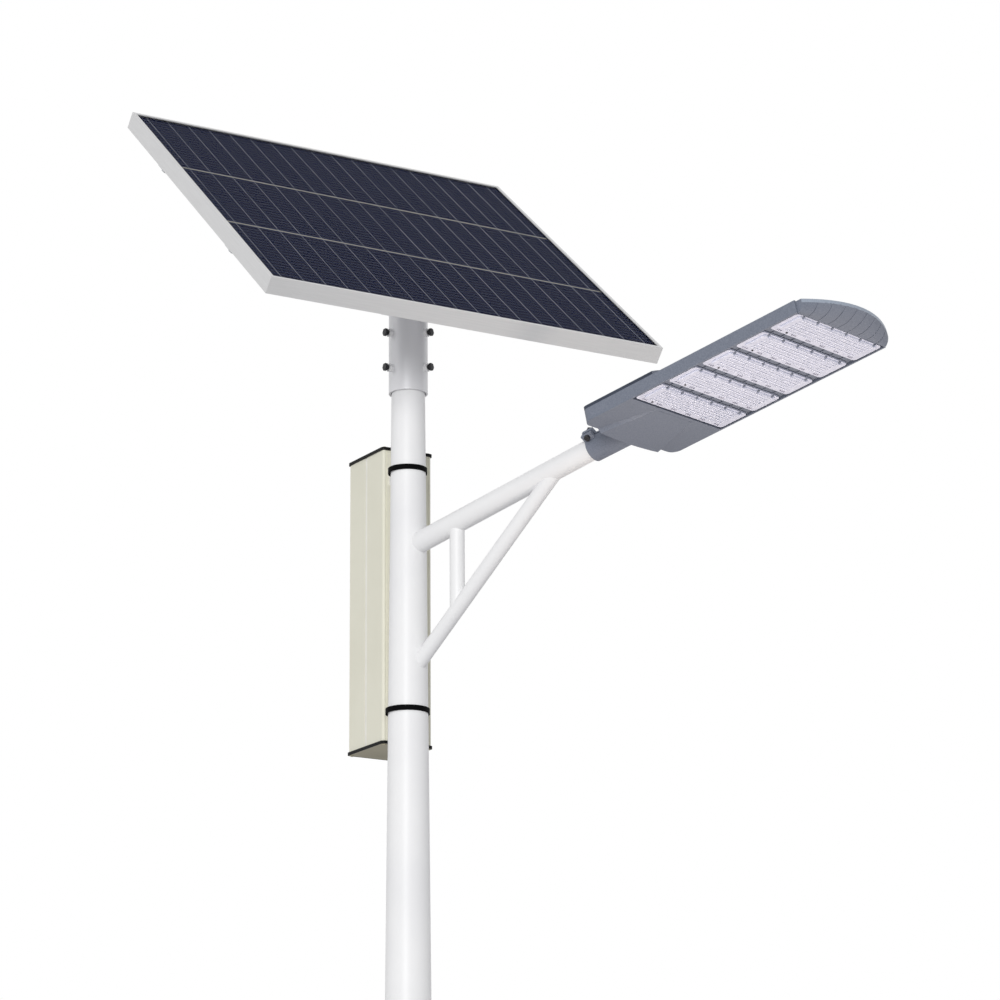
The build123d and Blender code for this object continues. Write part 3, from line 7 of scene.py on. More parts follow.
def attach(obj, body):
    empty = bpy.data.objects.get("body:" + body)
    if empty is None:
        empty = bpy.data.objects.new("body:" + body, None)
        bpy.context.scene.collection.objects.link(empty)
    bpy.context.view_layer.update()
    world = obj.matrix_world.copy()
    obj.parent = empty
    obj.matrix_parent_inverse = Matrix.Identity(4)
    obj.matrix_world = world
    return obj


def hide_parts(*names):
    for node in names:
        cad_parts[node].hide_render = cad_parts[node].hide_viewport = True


# Solar street lamp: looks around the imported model. Metres, +Z up.

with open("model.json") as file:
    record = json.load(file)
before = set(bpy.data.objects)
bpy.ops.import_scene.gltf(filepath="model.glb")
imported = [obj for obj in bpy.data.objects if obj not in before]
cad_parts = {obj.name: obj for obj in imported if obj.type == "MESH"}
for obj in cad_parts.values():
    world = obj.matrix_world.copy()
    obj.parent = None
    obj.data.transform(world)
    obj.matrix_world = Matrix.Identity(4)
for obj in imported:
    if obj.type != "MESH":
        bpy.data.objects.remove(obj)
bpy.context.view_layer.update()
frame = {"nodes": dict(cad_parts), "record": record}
nodes = frame["nodes"]
bodyOf = {
    name: body
    for body, names in frame["record"]["behaviour"]["bodies"].items()
    for name in names
}
slotOf = {part["node"]: part["material_slot"] for part in frame["record"]["subparts"]}
print("frame loaded,", len(nodes), "nodes")

mm = 0.001

# how the tilted assemblies stand: turn in degrees about X, Y and Z, and their origin in metres
stands = {
    "pole": ((0, 0, 0), (0, 0, 0)),
    "panel": ((0, 41, -18), (0, 0, 4.9)),
    "head": ((0, -12, 0), (0, 0, 4.469)),
    "box": ((0, 0, -18), (0, 0, 4.019)),
}


def standMatrix(stand):
    turn, origin = stands[stand]
    return (
        Matrix.Translation(origin)
        @ Matrix.Rotation(math.radians(turn[2]), 4, "Z")
        @ Matrix.Rotation(math.radians(turn[1]), 4, "Y")
        @ Matrix.Rotation(math.radians(turn[0]), 4, "X")
    )


def linear(code):
    # sRGB hex to the linear colour that a shader wants
    parts = [int(code[i:i + 2], 16) / 255 for i in (1, 3, 5)]
    return [c / 12.92 if c <= 0.04045 else ((c + 0.055) / 1.055) ** 2.4 for c in parts] + [1.0]


def addNode(tree, kind, inputs=None, stops=(), into=None, **settings):
    # adds a node, sets its settings, its sockets from numbers or from other sockets and a
    # colour ramp's stops, then links its first output into another node's socket
    node = tree.nodes.new("ShaderNode" + kind)
    for name, value in settings.items():
        setattr(node, name, value)
    for name, value in (inputs or {}).items():
        socket = node.inputs[name]
        if isinstance(value, bpy.types.NodeSocket):
            tree.links.new(value, socket)
        else:
            socket.default_value = value
    for index, (position, code) in enumerate(stops):
        node.color_ramp.elements[index].position = position
        node.color_ramp.elements[index].color = linear(code)
    if into is not None:
        tree.links.new(node.outputs[0], into)
    return node


def newMaterial(name, colour, stand=None, stretch=(1, 1, 1), **sockets):
    # a Principled material; returns it with its tree, its shader and the Object coordinates,
    # which can run along an assembly's own axes, drawn out so many times along each
    material = bpy.data.materials.new(name)
    material.use_nodes = True
    material.diffuse_color = linear(colour)
    tree = material.node_tree
    tree.nodes.clear()
    shader = addNode(tree, "BsdfPrincipled", {"Base Color": linear(colour)})
    for socket, value in sockets.items():
        shader.inputs[socket.replace("_", " ")].default_value = value
    addNode(tree, "OutputMaterial", {"Surface": shader.outputs[0]})
    place = addNode(tree, "TexCoord").outputs["Object"]
    if stand:
        turn, origin = stands[stand]
        place = addNode(tree, "Mapping", {
            "Vector": place, "Location": origin,
            "Rotation": [math.radians(angle) for angle in turn], "Scale": stretch,
        }, vector_type="TEXTURE").outputs[0]
    return material, tree, shader, place


def perSize(size):
    # a noise or Voronoi scale that gives cells of about this many millimetres
    return 1000.0 / size


def perBand(size):
    # a wave scale that sets its bands about this many millimetres apart
    return 0.314 / (size * mm)


# finishes: grain and streak are a pattern's size and relief is its height, in millimetres

def powderCoat(name, colour, dusty, roughness, grain, relief, shine=0.3, metallic=0.0):
    # Polyester powder coat, sprayed and baked: even colour with a very faint orange peel,
    # and a little dust that shows as a slightly duller, greyer cast in large soft patches.
    material, tree, shader, place = newMaterial(
        name, colour, Specular_IOR_Level=shine, Metallic=metallic,
    )
    patches = addNode(tree, "TexNoise", {"Vector": place, "Scale": perSize(260), "Detail": 3.0})
    addNode(
        tree, "ValToRGB", {"Fac": patches.outputs["Fac"]},
        stops=((0.30, dusty), (0.55, colour)), into=shader.inputs["Base Color"],
    )
    peel = addNode(tree, "TexNoise", {"Vector": place, "Scale": perSize(grain), "Detail": 2.0})
    addNode(tree, "Bump", {
        "Height": peel.outputs["Fac"], "Strength": 0.3, "Distance": relief * mm,
    }, into=shader.inputs["Normal"])
    addNode(tree, "MapRange", {
        "Value": patches.outputs["Fac"], "From Min": 0.3, "From Max": 0.7,
        "To Min": roughness + 0.06, "To Max": roughness,
    }, into=shader.inputs["Roughness"])
    return material


def speckledCoat(name, colour, light, dark, roughness):
    # Fine-texture powder coat on a die-casting: sandy to the touch, so it shows a fine
    # light and dark speckle and breaks up every reflection. The real grains are under a
    # millimetre across and are drawn a few times as coarse, so that they can be seen.
    material, tree, shader, place = newMaterial(
        name, colour, Roughness=roughness, Specular_IOR_Level=0.25,
    )
    sand = addNode(tree, "TexNoise", {
        "Vector": place, "Scale": perSize(2.6), "Detail": 4.0, "Roughness": 0.7,
    })
    addNode(
        tree, "ValToRGB", {"Fac": sand.outputs["Fac"]},
        stops=((0.32, dark), (0.70, light)), into=shader.inputs["Base Color"],
    )
    addNode(tree, "Bump", {
        "Height": sand.outputs["Fac"], "Strength": 0.4, "Distance": 0.2 * mm,
    }, into=shader.inputs["Normal"])
    return material


def machinedMetal(
    name, colour, dull, roughness, streak,
    stand="pole", stretch=(1, 1, 1), relief=0.02, metallic=1.0,
):
    # Bare, plated or anodised metal: fine lines from the die, the roll or the cutter.
    material, tree, shader, place = newMaterial(name, colour, stand, stretch, Metallic=metallic)
    lines = addNode(tree, "TexNoise", {"Vector": place, "Scale": perSize(streak), "Detail": 5.0})
    addNode(
        tree, "ValToRGB", {"Fac": lines.outputs["Fac"]},
        stops=((0.35, dull), (0.65, colour)), into=shader.inputs["Base Color"],
    )
    addNode(tree, "MapRange", {
        "Value": lines.outputs["Fac"], "To Min": roughness + 0.10, "To Max": roughness - 0.06,
    }, into=shader.inputs["Roughness"])
    addNode(tree, "Bump", {
        "Height": lines.outputs["Fac"], "Strength": 0.35, "Distance": relief * mm,
    }, into=shader.inputs["Normal"])
    return material


def mouldedPlastic(name, colour, dark, roughness, grain, relief, shine=0.4):
    # Injection moulding with a spark-eroded grain: a soft even sheen over tiny pits.
    material, tree, shader, place = newMaterial(
        name, colour, Roughness=roughness, Specular_IOR_Level=shine,
    )
    pits = addNode(tree, "TexVoronoi", {"Vector": place, "Scale": perSize(grain)})
    cloud = addNode(tree, "TexNoise", {"Vector": place, "Scale": perSize(35), "Detail": 2.0})
    addNode(
        tree, "ValToRGB", {"Fac": cloud.outputs["Fac"]},
        stops=((0.3, dark), (0.7, colour)), into=shader.inputs["Base Color"],
    )
    addNode(tree, "Bump", {
        "Height": pits.outputs["Distance"], "Strength": 0.4, "Distance": relief * mm,
    }, into=shader.inputs["Normal"])
    return material


finishes = {}

# gloss white polyester powder coat on steel: pole, arm, foot and welded nuts
finishes["pole_white"] = powderCoat(
    "whitePowderCoatOnSteel", "#f7f7f7", "#f1f1f2", roughness=0.34, grain=6.0, relief=0.05,
)

# silver satin powder coat on the bracket's steel: the flakes in it reflect a little like metal
finishes["bracket_grey"] = powderCoat(
    "silverSatinPowderCoat", "#f0f0f2", "#e9e9eb",
    roughness=0.36, grain=5.0, relief=0.06, shine=0.5, metallic=0.2,
)

# nylon-coated stainless strip: dead black, nearly no shine
finishes["band_black"] = mouldedPlastic(
    "nylonCoatedSteelStrip", "#040405", "#020203",
    roughness=0.7, grain=1.5, relief=0.03, shine=0.06,
)

# blackened steel: oxide finish on bolts, dark brown-grey with an oily half-shine
finishes["dark_bolt"] = machinedMetal(
    "blackenedSteel", "#3f3f42", "#2b2b2e", roughness=0.45, streak=4.0, metallic=0.6,
)

# zinc plated steel with a clear passivation
finishes["bright_steel"] = machinedMetal(
    "zincPlatedSteel", "#c9ccce", "#aeb2b6", roughness=0.34, streak=5.0,
)

# turned brass
finishes["brass"] = machinedMetal(
    "turnedBrass", "#d8b267", "#b08a45", roughness=0.30, streak=4.0,
)

# mill-finish extruded aluminium: die lines run down the length of the section
finishes["bare_aluminium"] = machinedMetal(
    "millFinishAluminium", "#c6c8ca", "#b2b4b7",
    roughness=0.38, streak=3.0, stand="panel", stretch=(1, 30, 1),
)

# clear anodised aluminium: matt etched under the oxide, so it is pale and evenly satin
finishes["frame_aluminium"] = machinedMetal(
    "clearAnodisedAluminium", "#dfdfdf", "#dbdbdb",
    roughness=0.55, streak=3.0, stand="panel", stretch=(30, 30, 1), relief=0.01, metallic=0.15,
)

# EPDM rubber: matt black, a little grey where it has bloomed
finishes["gasket_rubber"] = mouldedPlastic(
    "epdmRubber", "#121212", "#0b0b0b", roughness=0.65, grain=1.2, relief=0.04, shine=0.2,
)

# glass-filled black polyamide
finishes["black_plastic"] = mouldedPlastic(
    "blackPolyamide", "#18181a", "#101012", roughness=0.48, grain=1.0, relief=0.03,
)

# beige powder coat over an aluminium extrusion: shell of the battery box
finishes["box_beige"] = powderCoat(
    "beigePowderCoatOnAluminium", "#ecead9", "#e6e4d2",
    roughness=0.42, grain=5.0, relief=0.06, shine=0.25,
)

# polymer laminate behind the cells: white, slightly wavy over the ribbons
finishes["backsheet_white"] = mouldedPlastic(
    "polymerBacksheet", "#e9eaec", "#e1e2e5", roughness=0.55, grain=9.0, relief=0.05,
)

# PVC shrink film over the battery: blue, glossy and a little wrinkled
finishes["battery_wrap"] = mouldedPlastic(
    "pvcShrinkFilm", "#2356a0", "#1c4788", roughness=0.22, grain=14.0, relief=0.5,
)

# anodised and dyed aluminium of the controller's case
finishes["controller_case"] = machinedMetal(
    "dyedAnodisedAluminium", "#6a6c70", "#5a5c60", roughness=0.45, streak=3.0,
)

# fine-texture powder coat on die-cast aluminium: the whole lamp head
finishes["head_grey"] = speckledCoat(
    "fineTexturePowderCoatOnCasting", "#7b8190", "#868c99", "#6f7583", roughness=0.5,
)

# white solder mask on an aluminium-core board
finishes["board_white"] = mouldedPlastic(
    "whiteSolderMask", "#f1f1ee", "#e8e8e4", roughness=0.35, grain=2.5, relief=0.02,
)

# polyamide terminal strip
finishes["terminal_plastic"] = mouldedPlastic(
    "naturalPolyamide", "#d9d5c2", "#ccc8b4", roughness=0.42, grain=1.2, relief=0.03,
)


def solarGlass():
    # Tempered low-iron glass with an anti-reflective coat. It is nearly clear, so the sheet
    # adds only a thin cool veil and a faint shine over the cells below it, which the slight
    # waves from the tempering rollers bend here and there.
    material, tree, shader, place = newMaterial(
        "antiReflectiveSolarGlass", "#0c0d14",
        Alpha=0.05, Roughness=0.14, Specular_IOR_Level=0.3,
    )
    rolled = addNode(tree, "TexNoise", {"Vector": place, "Scale": perSize(90), "Detail": 1.0})
    addNode(tree, "Bump", {
        "Height": rolled.outputs["Fac"], "Strength": 0.3, "Distance": 0.2 * mm,
    }, into=shader.inputs["Normal"])
    return material


finishes["panel_glass"] = solarGlass()


def siliconCell():
    # Polished monocrystalline wafer under a blue nitride coat: navy, with silver fingers
    # printed across the ribbons. They are 1.6 mm apart, too fine to show, so they are drawn
    # as faint wavy streaks 17 mm apart.
    material, tree, shader, place = newMaterial(
        "nitrideCoatedSilicon", "#282b45", stand="panel", stretch=(1, 4, 1),
        Roughness=0.4, Specular_IOR_Level=0.0,
    )
    fingers = addNode(tree, "TexWave", {
        "Vector": place, "Scale": perBand(17),
        "Distortion": 0.7, "Detail": 1.0, "Detail Scale": 1.0,
    }, wave_type="BANDS", bands_direction="X")
    addNode(
        tree, "ValToRGB", {"Fac": fingers.outputs["Fac"]},
        stops=((0.2, "#15182e"), (0.8, "#313752")), into=shader.inputs["Base Color"],
    )
    return material


finishes["cell_blue"] = siliconCell()


def lensPlastic():
    # Clear polycarbonate over white boards and white reflectors: milky white with a soft
    # grey mottle, because each lens sends the eye somewhere else.
    material, tree, shader, place = newMaterial(
        "mouldedPolycarbonateLens", "#dbd9e2", stand="head",
        Roughness=0.22, Specular_IOR_Level=0.35,
    )
    mottle = addNode(tree, "TexNoise", {
        "Vector": place, "Scale": perSize(9), "Detail": 3.0, "Roughness": 0.6,
    })
    addNode(
        tree, "ValToRGB", {"Fac": mottle.outputs["Fac"]},
        stops=((0.34, "#cfd2e3"), (0.66, "#e2e4f3")), into=shader.inputs["Base Color"],
    )
    return material


finishes["lens_clear"] = lensPlastic()
print("finishes made,", len(finishes))

# the beads over the LEDs are glossier than the plate and painted paler: a painted highlight on
# each LED's lens
paintedHighlightBead = mouldedPlastic(
    "polishedPolycarbonateBead", "#eaedfb", "#e0e3f3",
    roughness=0.28, grain=3.0, relief=0.0, shine=0.5,
)

# smoky polycarbonate of the snap clips, dark where they shade the gap behind them
clipPlastic = mouldedPlastic(
    "smokyPolycarbonate", "#a6a6b6", "#8d8d9f", roughness=0.3, grain=2.0, relief=0.01,
)

# tinned copper ribbon: dull silver, here and there a duller spot where it was soldered
tinnedRibbon = machinedMetal(
    "tinnedCopperRibbon", "#8f94a2", "#7c8190",
    roughness=0.5, streak=6.0, stand="panel", stretch=(8, 1, 1), relief=0.01, metallic=0.0,
)

# grey polyester tape over the cross leads between the rows of cells
rowTape = mouldedPlastic(
    "greyPolyesterTape", "#b2b0a5", "#a4a39c", roughness=0.6, grain=4.0, relief=0.01, shine=0.1,
)

# the laminate's front film is nearly as dark as the cells, so that their gaps hardly show
frontFilm = mouldedPlastic(
    "blackFrontFilm", "#1b1e35", "#181b31", roughness=0.6, grain=5.0, relief=0.01, shine=0.0,
)

# the head's coat on the nose's rim, paler and smoother: a painted highlight along the rim's
# rounded edge
paintedHighlightRimCoat = speckledCoat(
    "burnishedPowderCoatOnRim", "#a3adbb", "#adb6c3", "#98a2b1", roughness=0.4,
)

# the lid's skirt in a dark slate, almost without shine: painted shade along the lid's edge
paintedShadeLidEdge = mouldedPlastic(
    "slateEpdmEdgeTrim", "#434a58", "#3a404d", roughness=0.6, grain=1.2, relief=0.03, shine=0.2,
)

# co-extruded PVC strip that closes the groove in the box's side: cream, nearly matt
creamStrip = mouldedPlastic(
    "creamPvcStrip", "#f7f5ec", "#f0eee4", roughness=0.5, grain=2.0, relief=0.01,
)

# the box's end plates lie in shade: the shell's coat painted a darker taupe there, as painted
# shade
paintedShadeEndCoat = powderCoat(
    "dustyBeigePowderCoat", "#bab39c", "#a8a28c",
    roughness=0.5, grain=5.0, relief=0.06, shine=0.2,
)

for name, node in nodes.items():  # every node gets its finish first
    node.data.materials.clear()
    node.data.materials.append(finishes[slotOf[name]])
print("nodes painted")


# pieces that follow a CAD node's own shape, with rounded edges and smooth faces

rounding = {
    "mergeWithin": 0.01,      # corners closer than this become one
    "flatWithin": 0.6,        # degrees: faces that bend less than this become one
    "corner": 20.0,           # degrees: edges sharper than this are rounded and stay crisp
    "steps": 2,
}

# by how much each piece's edges are rounded; 0 leaves a round tube as it is
edgeRounding = {
    "pole_shaft": 0.0,
    "arm_tube": 0.0,
    "brace_tube": 0.0,
    "strut_tube": 0.0,
    "bracket_sleeve": 0.6,
    "weld_nuts": 0.5,
    "set_bolts": 0.5,
    "collar_clamp_bolt": 0.4,
    "base_flange": 0.8,
    "base_gussets": 0.6,
    "support_spine": 0.6,
    "panel_rails": 0.4,
    "junction_box": 0.8,
    "junction_lid": 0.8,
    "battery_box_shell": 0.5,
    "box_saddles": 0.5,
    "led_lenses": 0.4,
    "module_screws": 0.3,
    "panel_frame": 0.4,
}
mitred = ("panel_frame",)     # made of members that meet in mitres

# pieces whose real finish is another one of the lamp's own
otherFinish = {
    "weld_nuts": "pole_white",
    "collar_clamp_bolt": "dark_bolt",
    "module_screws": "head_grey",
}


def deselectAll():
    bpy.ops.object.select_all(action="DESELECT")


def makeActive(piece):
    deselectAll()
    piece.select_set(True)
    bpy.context.view_layer.objects.active = piece


def applyAll(piece):
    for modifier in list(piece.modifiers):
        bpy.ops.object.modifier_apply(modifier=modifier.name)


def takeOver(piece, name):
    # the piece moves with the node's body and stands for the node
    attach(piece, bodyOf[name])
    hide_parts(name)


def merged(name):
    # a joined-up copy of a node's mesh, the active object
    source = nodes[name]
    piece = bpy.data.objects.new(name + "Finished", source.data.copy())
    bpy.context.scene.collection.objects.link(piece)
    piece.data.materials.clear()
    piece.data.materials.append(finishes[otherFinish.get(name, slotOf[name])])
    makeActive(piece)
    bpy.ops.object.mode_set(mode="EDIT")
    bpy.ops.mesh.select_all(action="SELECT")
    bpy.ops.mesh.remove_doubles(threshold=rounding["mergeWithin"] * mm)
    bpy.ops.object.mode_set(mode="OBJECT")
    bpy.ops.mesh.customdata_custom_splitnormals_clear()
    return piece


def dropInnerFaces():
    # in edit mode: the members' end faces in a mitre lie inside the metal
    bpy.ops.mesh.select_mode(type="FACE")
    bpy.ops.mesh.select_all(action="DESELECT")
    bpy.ops.mesh.select_interior_faces()
    bpy.ops.mesh.delete(type="FACE")


def dressed(name, edge, change=None):
    # a merged copy with its edges rounded by so many millimetres
    piece = merged(name)
    if edge:
        bpy.ops.object.mode_set(mode="EDIT")
        if name in mitred:
            dropInnerFaces()
        bpy.ops.mesh.select_all(action="SELECT")
        bpy.ops.mesh.dissolve_limited(angle_limit=math.radians(rounding["flatWithin"]))
        bpy.ops.object.mode_set(mode="OBJECT")
        if change:
            change(piece)
        bevel = piece.modifiers.new("roundedEdges", "BEVEL")
        bevel.width = edge * mm
        bevel.segments = rounding["steps"]
        bevel.limit_method = "ANGLE"
        bevel.angle_limit = math.radians(rounding["corner"])
        bevel.use_clamp_overlap = True
        bevel.miter_outer = "MITER_ARC"
        applyAll(piece)
    bpy.ops.object.shade_smooth_by_angle(angle=math.radians(rounding["corner"]))
    if edge:
        flat = piece.modifiers.new("flatFacesStayFlat", "WEIGHTED_NORMAL")
        flat.keep_sharp = True
        applyAll(piece)
    takeOver(piece, name)
    return piece


def giveSecondFinish(piece, faces, finish):
    piece.data.materials.append(finish)
    for index in faces:
        piece.data.polygons[index].material_index = len(piece.data.materials) - 1


for name, edge in edgeRounding.items():
    dressed(name, edge)
print("main pieces rounded")


# lamp head: the housing, the nose with a painted highlight on its rim and the lid with painted
# shade along its edge

head = {
    "edge": 0.7,
    "lidEdge": 0.35,
    "rimFrom": 0.6,           # heights from the arm's axis
    "rimTo": 8.0,
    "trimFrom": 10.0,
    "trimTo": 17.2,
    "upright": 0.35,          # a face counts as upright while its normal rises less than this
}


def bandFaces(piece, low, high):
    # the head's upright faces between two heights above the arm's axis
    back = standMatrix("head").inverted()
    turned = back.to_3x3()
    found = []
    for face in piece.data.polygons:
        height = (back @ face.center)[2] / mm
        if low < height < high and abs((turned @ face.normal)[2]) < head["upright"]:
            found.append(face.index)
    return found


# the rim band gets the paler coat: a painted highlight
def paintRimHighlight(piece):
    giveSecondFinish(piece, bandFaces(piece, head["rimFrom"], head["rimTo"]), paintedHighlightRimCoat)


# the lid's skirt gets the dark coat: painted shade
def paintLidEdgeShade(piece):
    giveSecondFinish(piece, bandFaces(piece, head["trimFrom"], head["trimTo"]), paintedShadeLidEdge)


dressed("lamp_housing", head["edge"])
dressed("front_nose", head["edge"], paintRimHighlight)
dressed("driver_cover", head["lidEdge"], paintLidEdgeShade)
print("lamp head finished")


# battery box: end plates with their screws, and a strip in each side groove

box = {
    "edge": 0.7,
    "stripWide": 9.6,
    "stripThick": 1.0,
    "stripLong": 674.0,
    "stripEdge": 0.3,
    "stripAcross": -80.0,     # strip's middle, from the face next to the pole
    "side": 62.4,             # strip's outer face, from the box's centre line
    "middle": 344.0,          # height of the strip's middle
    "place": (-62.0, 33.0, 0.0),
    "blockCorner": 40.0,      # degrees: a block's edges sharper than this stay crisp
}
boxFrame = standMatrix("box") @ Matrix.Translation([v * mm for v in box["place"]])

# the end plates and their screws take the darker coat: painted shade
for name in ("battery_box_top_cap", "battery_box_bottom_cap"):
    piece = dressed(name, box["edge"])
    piece.data.materials[0] = paintedShadeEndCoat
nodes["box_cap_screws"].data.materials[0] = paintedShadeEndCoat


def placeFor(piece, name, matrix, body):
    # puts a piece made at the origin into its assembly, with its place in its mesh
    piece.name = name
    piece.data.name = name
    piece.matrix_world = matrix @ piece.matrix_world
    makeActive(piece)
    bpy.ops.object.transform_apply(location=True, rotation=True, scale=True)
    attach(piece, body)


def block(size, edge, steps=2):
    # a block of so many millimetres about the origin, its edges rounded, the active object
    deselectAll()
    bpy.ops.mesh.primitive_cube_add(size=1.0, location=(0, 0, 0))
    piece = bpy.context.object
    piece.scale = [v * mm for v in size]
    bpy.ops.object.transform_apply(location=True, rotation=True, scale=True)
    bpy.ops.object.mode_set(mode="EDIT")
    bpy.ops.mesh.select_all(action="SELECT")
    bpy.ops.mesh.bevel(offset=edge * mm, segments=steps, affect="EDGES")
    bpy.ops.object.mode_set(mode="OBJECT")
    bpy.ops.object.shade_smooth_by_angle(angle=math.radians(box["blockCorner"]))
    return piece


for side, label in ((-1, "Left"), (1, "Right")):
    strip = block((box["stripWide"], box["stripThick"], box["stripLong"]), box["stripEdge"])
    strip.data.materials.append(creamStrip)
    middle = Matrix.Translation((
        box["stripAcross"] * mm,
        side * (box["side"] - box["stripThick"] / 2) * mm,
        box["middle"] * mm,
    ))
    placeFor(strip, "boxSideStrip" + label, boxFrame @ middle, "pole")
print("battery box finished")


# solar panel: ribbons, row tapes and a black front film on the laminate

panel = {
    "ribbonRise": 0.05,       # faces this far above the cells belong to the ribbons
    "ribbonThick": 0.2,
    "frontDepth": 0.01,       # faces this near the laminate's top are its front
    "border": 5.2,            # glass edge to the first cell
    "rows": 3,
    "tapeWide": 5.0,
    "tapeThick": 0.16,
    "tapeEdge": 0.05,
}


def spanIn(mesh, stand):
    # lowest and highest corner of a mesh along an assembly's own axes
    back = standMatrix(stand).inverted()
    points = [back @ vertex.co for vertex in mesh.vertices]
    low = [min(point[axis] for point in points) for axis in range(3)]
    high = [max(point[axis] for point in points) for axis in range(3)]
    return low, high


def facesAbove(piece, stand, height):
    # faces that lie higher than this, in metres, along an assembly's own Z axis
    back = standMatrix(stand).inverted()
    return [face.index for face in piece.data.polygons if (back @ face.center)[2] > height]


glassLow, glassHigh = spanIn(nodes["panel_glass"].data, "panel")
cellTop = glassLow[2] - panel["ribbonThick"] * mm

cells = merged("solar_cells")
ribbons = facesAbove(cells, "panel", cellTop + panel["ribbonRise"] * mm)
giveSecondFinish(cells, ribbons, tinnedRibbon)
takeOver(cells, "solar_cells")

sheet = merged("panel_backsheet")
sheetTop = spanIn(sheet.data, "panel")[1][2]
front = facesAbove(sheet, "panel", sheetTop - panel["frontDepth"] * mm)
giveSecondFinish(sheet, front, frontFilm)
takeOver(sheet, "panel_backsheet")

tapeLong = (glassHigh[1] - glassLow[1]) / mm - 2 * panel["border"]
rowStep = ((glassHigh[0] - glassLow[0]) - 2 * panel["border"] * mm) / panel["rows"]
for row in range(1, panel["rows"]):
    tape = block((panel["tapeWide"], tapeLong, panel["tapeThick"]), panel["tapeEdge"], 1)
    tape.data.materials.append(rowTape)
    place = Matrix.Translation((
        glassLow[0] + panel["border"] * mm + row * rowStep,
        (glassLow[1] + glassHigh[1]) / 2,
        cellTop + panel["tapeThick"] / 2 * mm,
    ))
    placeFor(tape, "rowTape" + str(row), standMatrix("panel") @ place, "panel")
print("solar panel finished")


# LED modules: a bead for every LED, snap clips on the rim and a vent plug

module = {
    "count": 5,
    "pitch": 90.0,
    "start": 789.5,           # from the pole's axis to the first module's edge
    "face": -21.4,            # underside of the raised lens field
    "rim": -17.4,             # underside of the rim
    "fieldMiddle": 41.5,
    "beadRadius": 2.7,
    "beadRise": 0.9,
    "beadPitch": 8.7,
    "beadRows": 6,
    "beadsInRow": 28,
    "beadSides": 8,
    "beadRings": 6,
    "beadCorner": 60.0,       # degrees: sharper edges than this stay crisp
    "clip": (4.5, 2.6, 1.0),
    "clipEdge": 0.4,
    "clipWall": 0.5,          # left around the hollow in a clip's underside
    "clipHollow": 0.6,
    "clipPitch": 6.0,
    "clipsInGroup": 3,
    "groupPitch": 49.0,
    "groups": 6,
    "clipFrom": 6.5,          # middle of the clips, from the module's edge
    "ventRadius": 2.2,
    "ventRise": 1.6,
    "ventSides": 16,
    "ventWall": 1.0,
    "ventHollow": 0.7,
    "ventCorner": 35.0,       # degrees: sharper edges than this stay crisp
    "ventPlace": (7.0, -98.0),
}


def repeated(piece, count, step):
    # makes a piece into a row of copies, centred on the origin
    row = piece.modifiers.new("row", "ARRAY")
    row.count = count
    row.use_relative_offset = False
    row.use_constant_offset = True
    row.constant_offset_displace = [v * mm for v in step]
    applyAll(piece)
    bpy.ops.object.mode_set(mode="EDIT")
    bpy.ops.mesh.select_all(action="SELECT")
    bpy.ops.transform.translate(value=[-v * mm * (count - 1) / 2 for v in step])
    bpy.ops.object.mode_set(mode="OBJECT")


def hollowBelow(piece, wall, depth):
    # sinks a hollow into the underside of the active piece and leaves a wall around it
    bpy.ops.object.mode_set(mode="EDIT")
    bpy.ops.mesh.select_mode(type="FACE")
    bpy.ops.mesh.select_all(action="DESELECT")
    bpy.ops.object.mode_set(mode="OBJECT")
    lowest = min(piece.data.polygons, key=lambda face: face.center.z)
    lowest.select = True
    bpy.ops.object.mode_set(mode="EDIT")
    bpy.ops.mesh.inset(thickness=wall * mm, depth=-depth * mm)
    bpy.ops.object.mode_set(mode="OBJECT")


deselectAll()
bpy.ops.mesh.primitive_uv_sphere_add(
    segments=module["beadSides"], ring_count=module["beadRings"],
    radius=module["beadRadius"] * mm, location=(0, 0, 0),
)
beads = bpy.context.object
bpy.ops.object.mode_set(mode="EDIT")
bpy.ops.mesh.select_all(action="SELECT")
bpy.ops.mesh.bisect(plane_co=(0, 0, 0), plane_no=(0, 0, 1), clear_outer=True, use_fill=True)
bpy.ops.mesh.select_all(action="SELECT")
bpy.ops.transform.resize(value=(1, 1, module["beadRise"] / module["beadRadius"]))
bpy.ops.mesh.normals_make_consistent(inside=False)
bpy.ops.object.mode_set(mode="OBJECT")
bpy.ops.object.shade_smooth_by_angle(angle=math.radians(module["beadCorner"]))
beads.data.materials.append(paintedHighlightBead)
repeated(beads, module["beadRows"], (module["beadPitch"], 0, 0))
repeated(beads, module["beadsInRow"], (0, module["beadPitch"], 0))

clips = block(module["clip"], module["clipEdge"], 1)
hollowBelow(clips, module["clipWall"], module["clipHollow"])
clips.data.materials.append(clipPlastic)
repeated(clips, module["clipsInGroup"], (0, module["clipPitch"], 0))
repeated(clips, module["groups"], (0, module["groupPitch"], 0))

deselectAll()
bpy.ops.mesh.primitive_cylinder_add(
    vertices=module["ventSides"], radius=module["ventRadius"] * mm,
    depth=module["ventRise"] * mm, location=(0, 0, 0),
)
vent = bpy.context.object
hollowBelow(vent, module["ventWall"], module["ventHollow"])
bpy.ops.object.shade_smooth_by_angle(angle=math.radians(module["ventCorner"]))
vent.data.materials.append(finishes["black_plastic"])

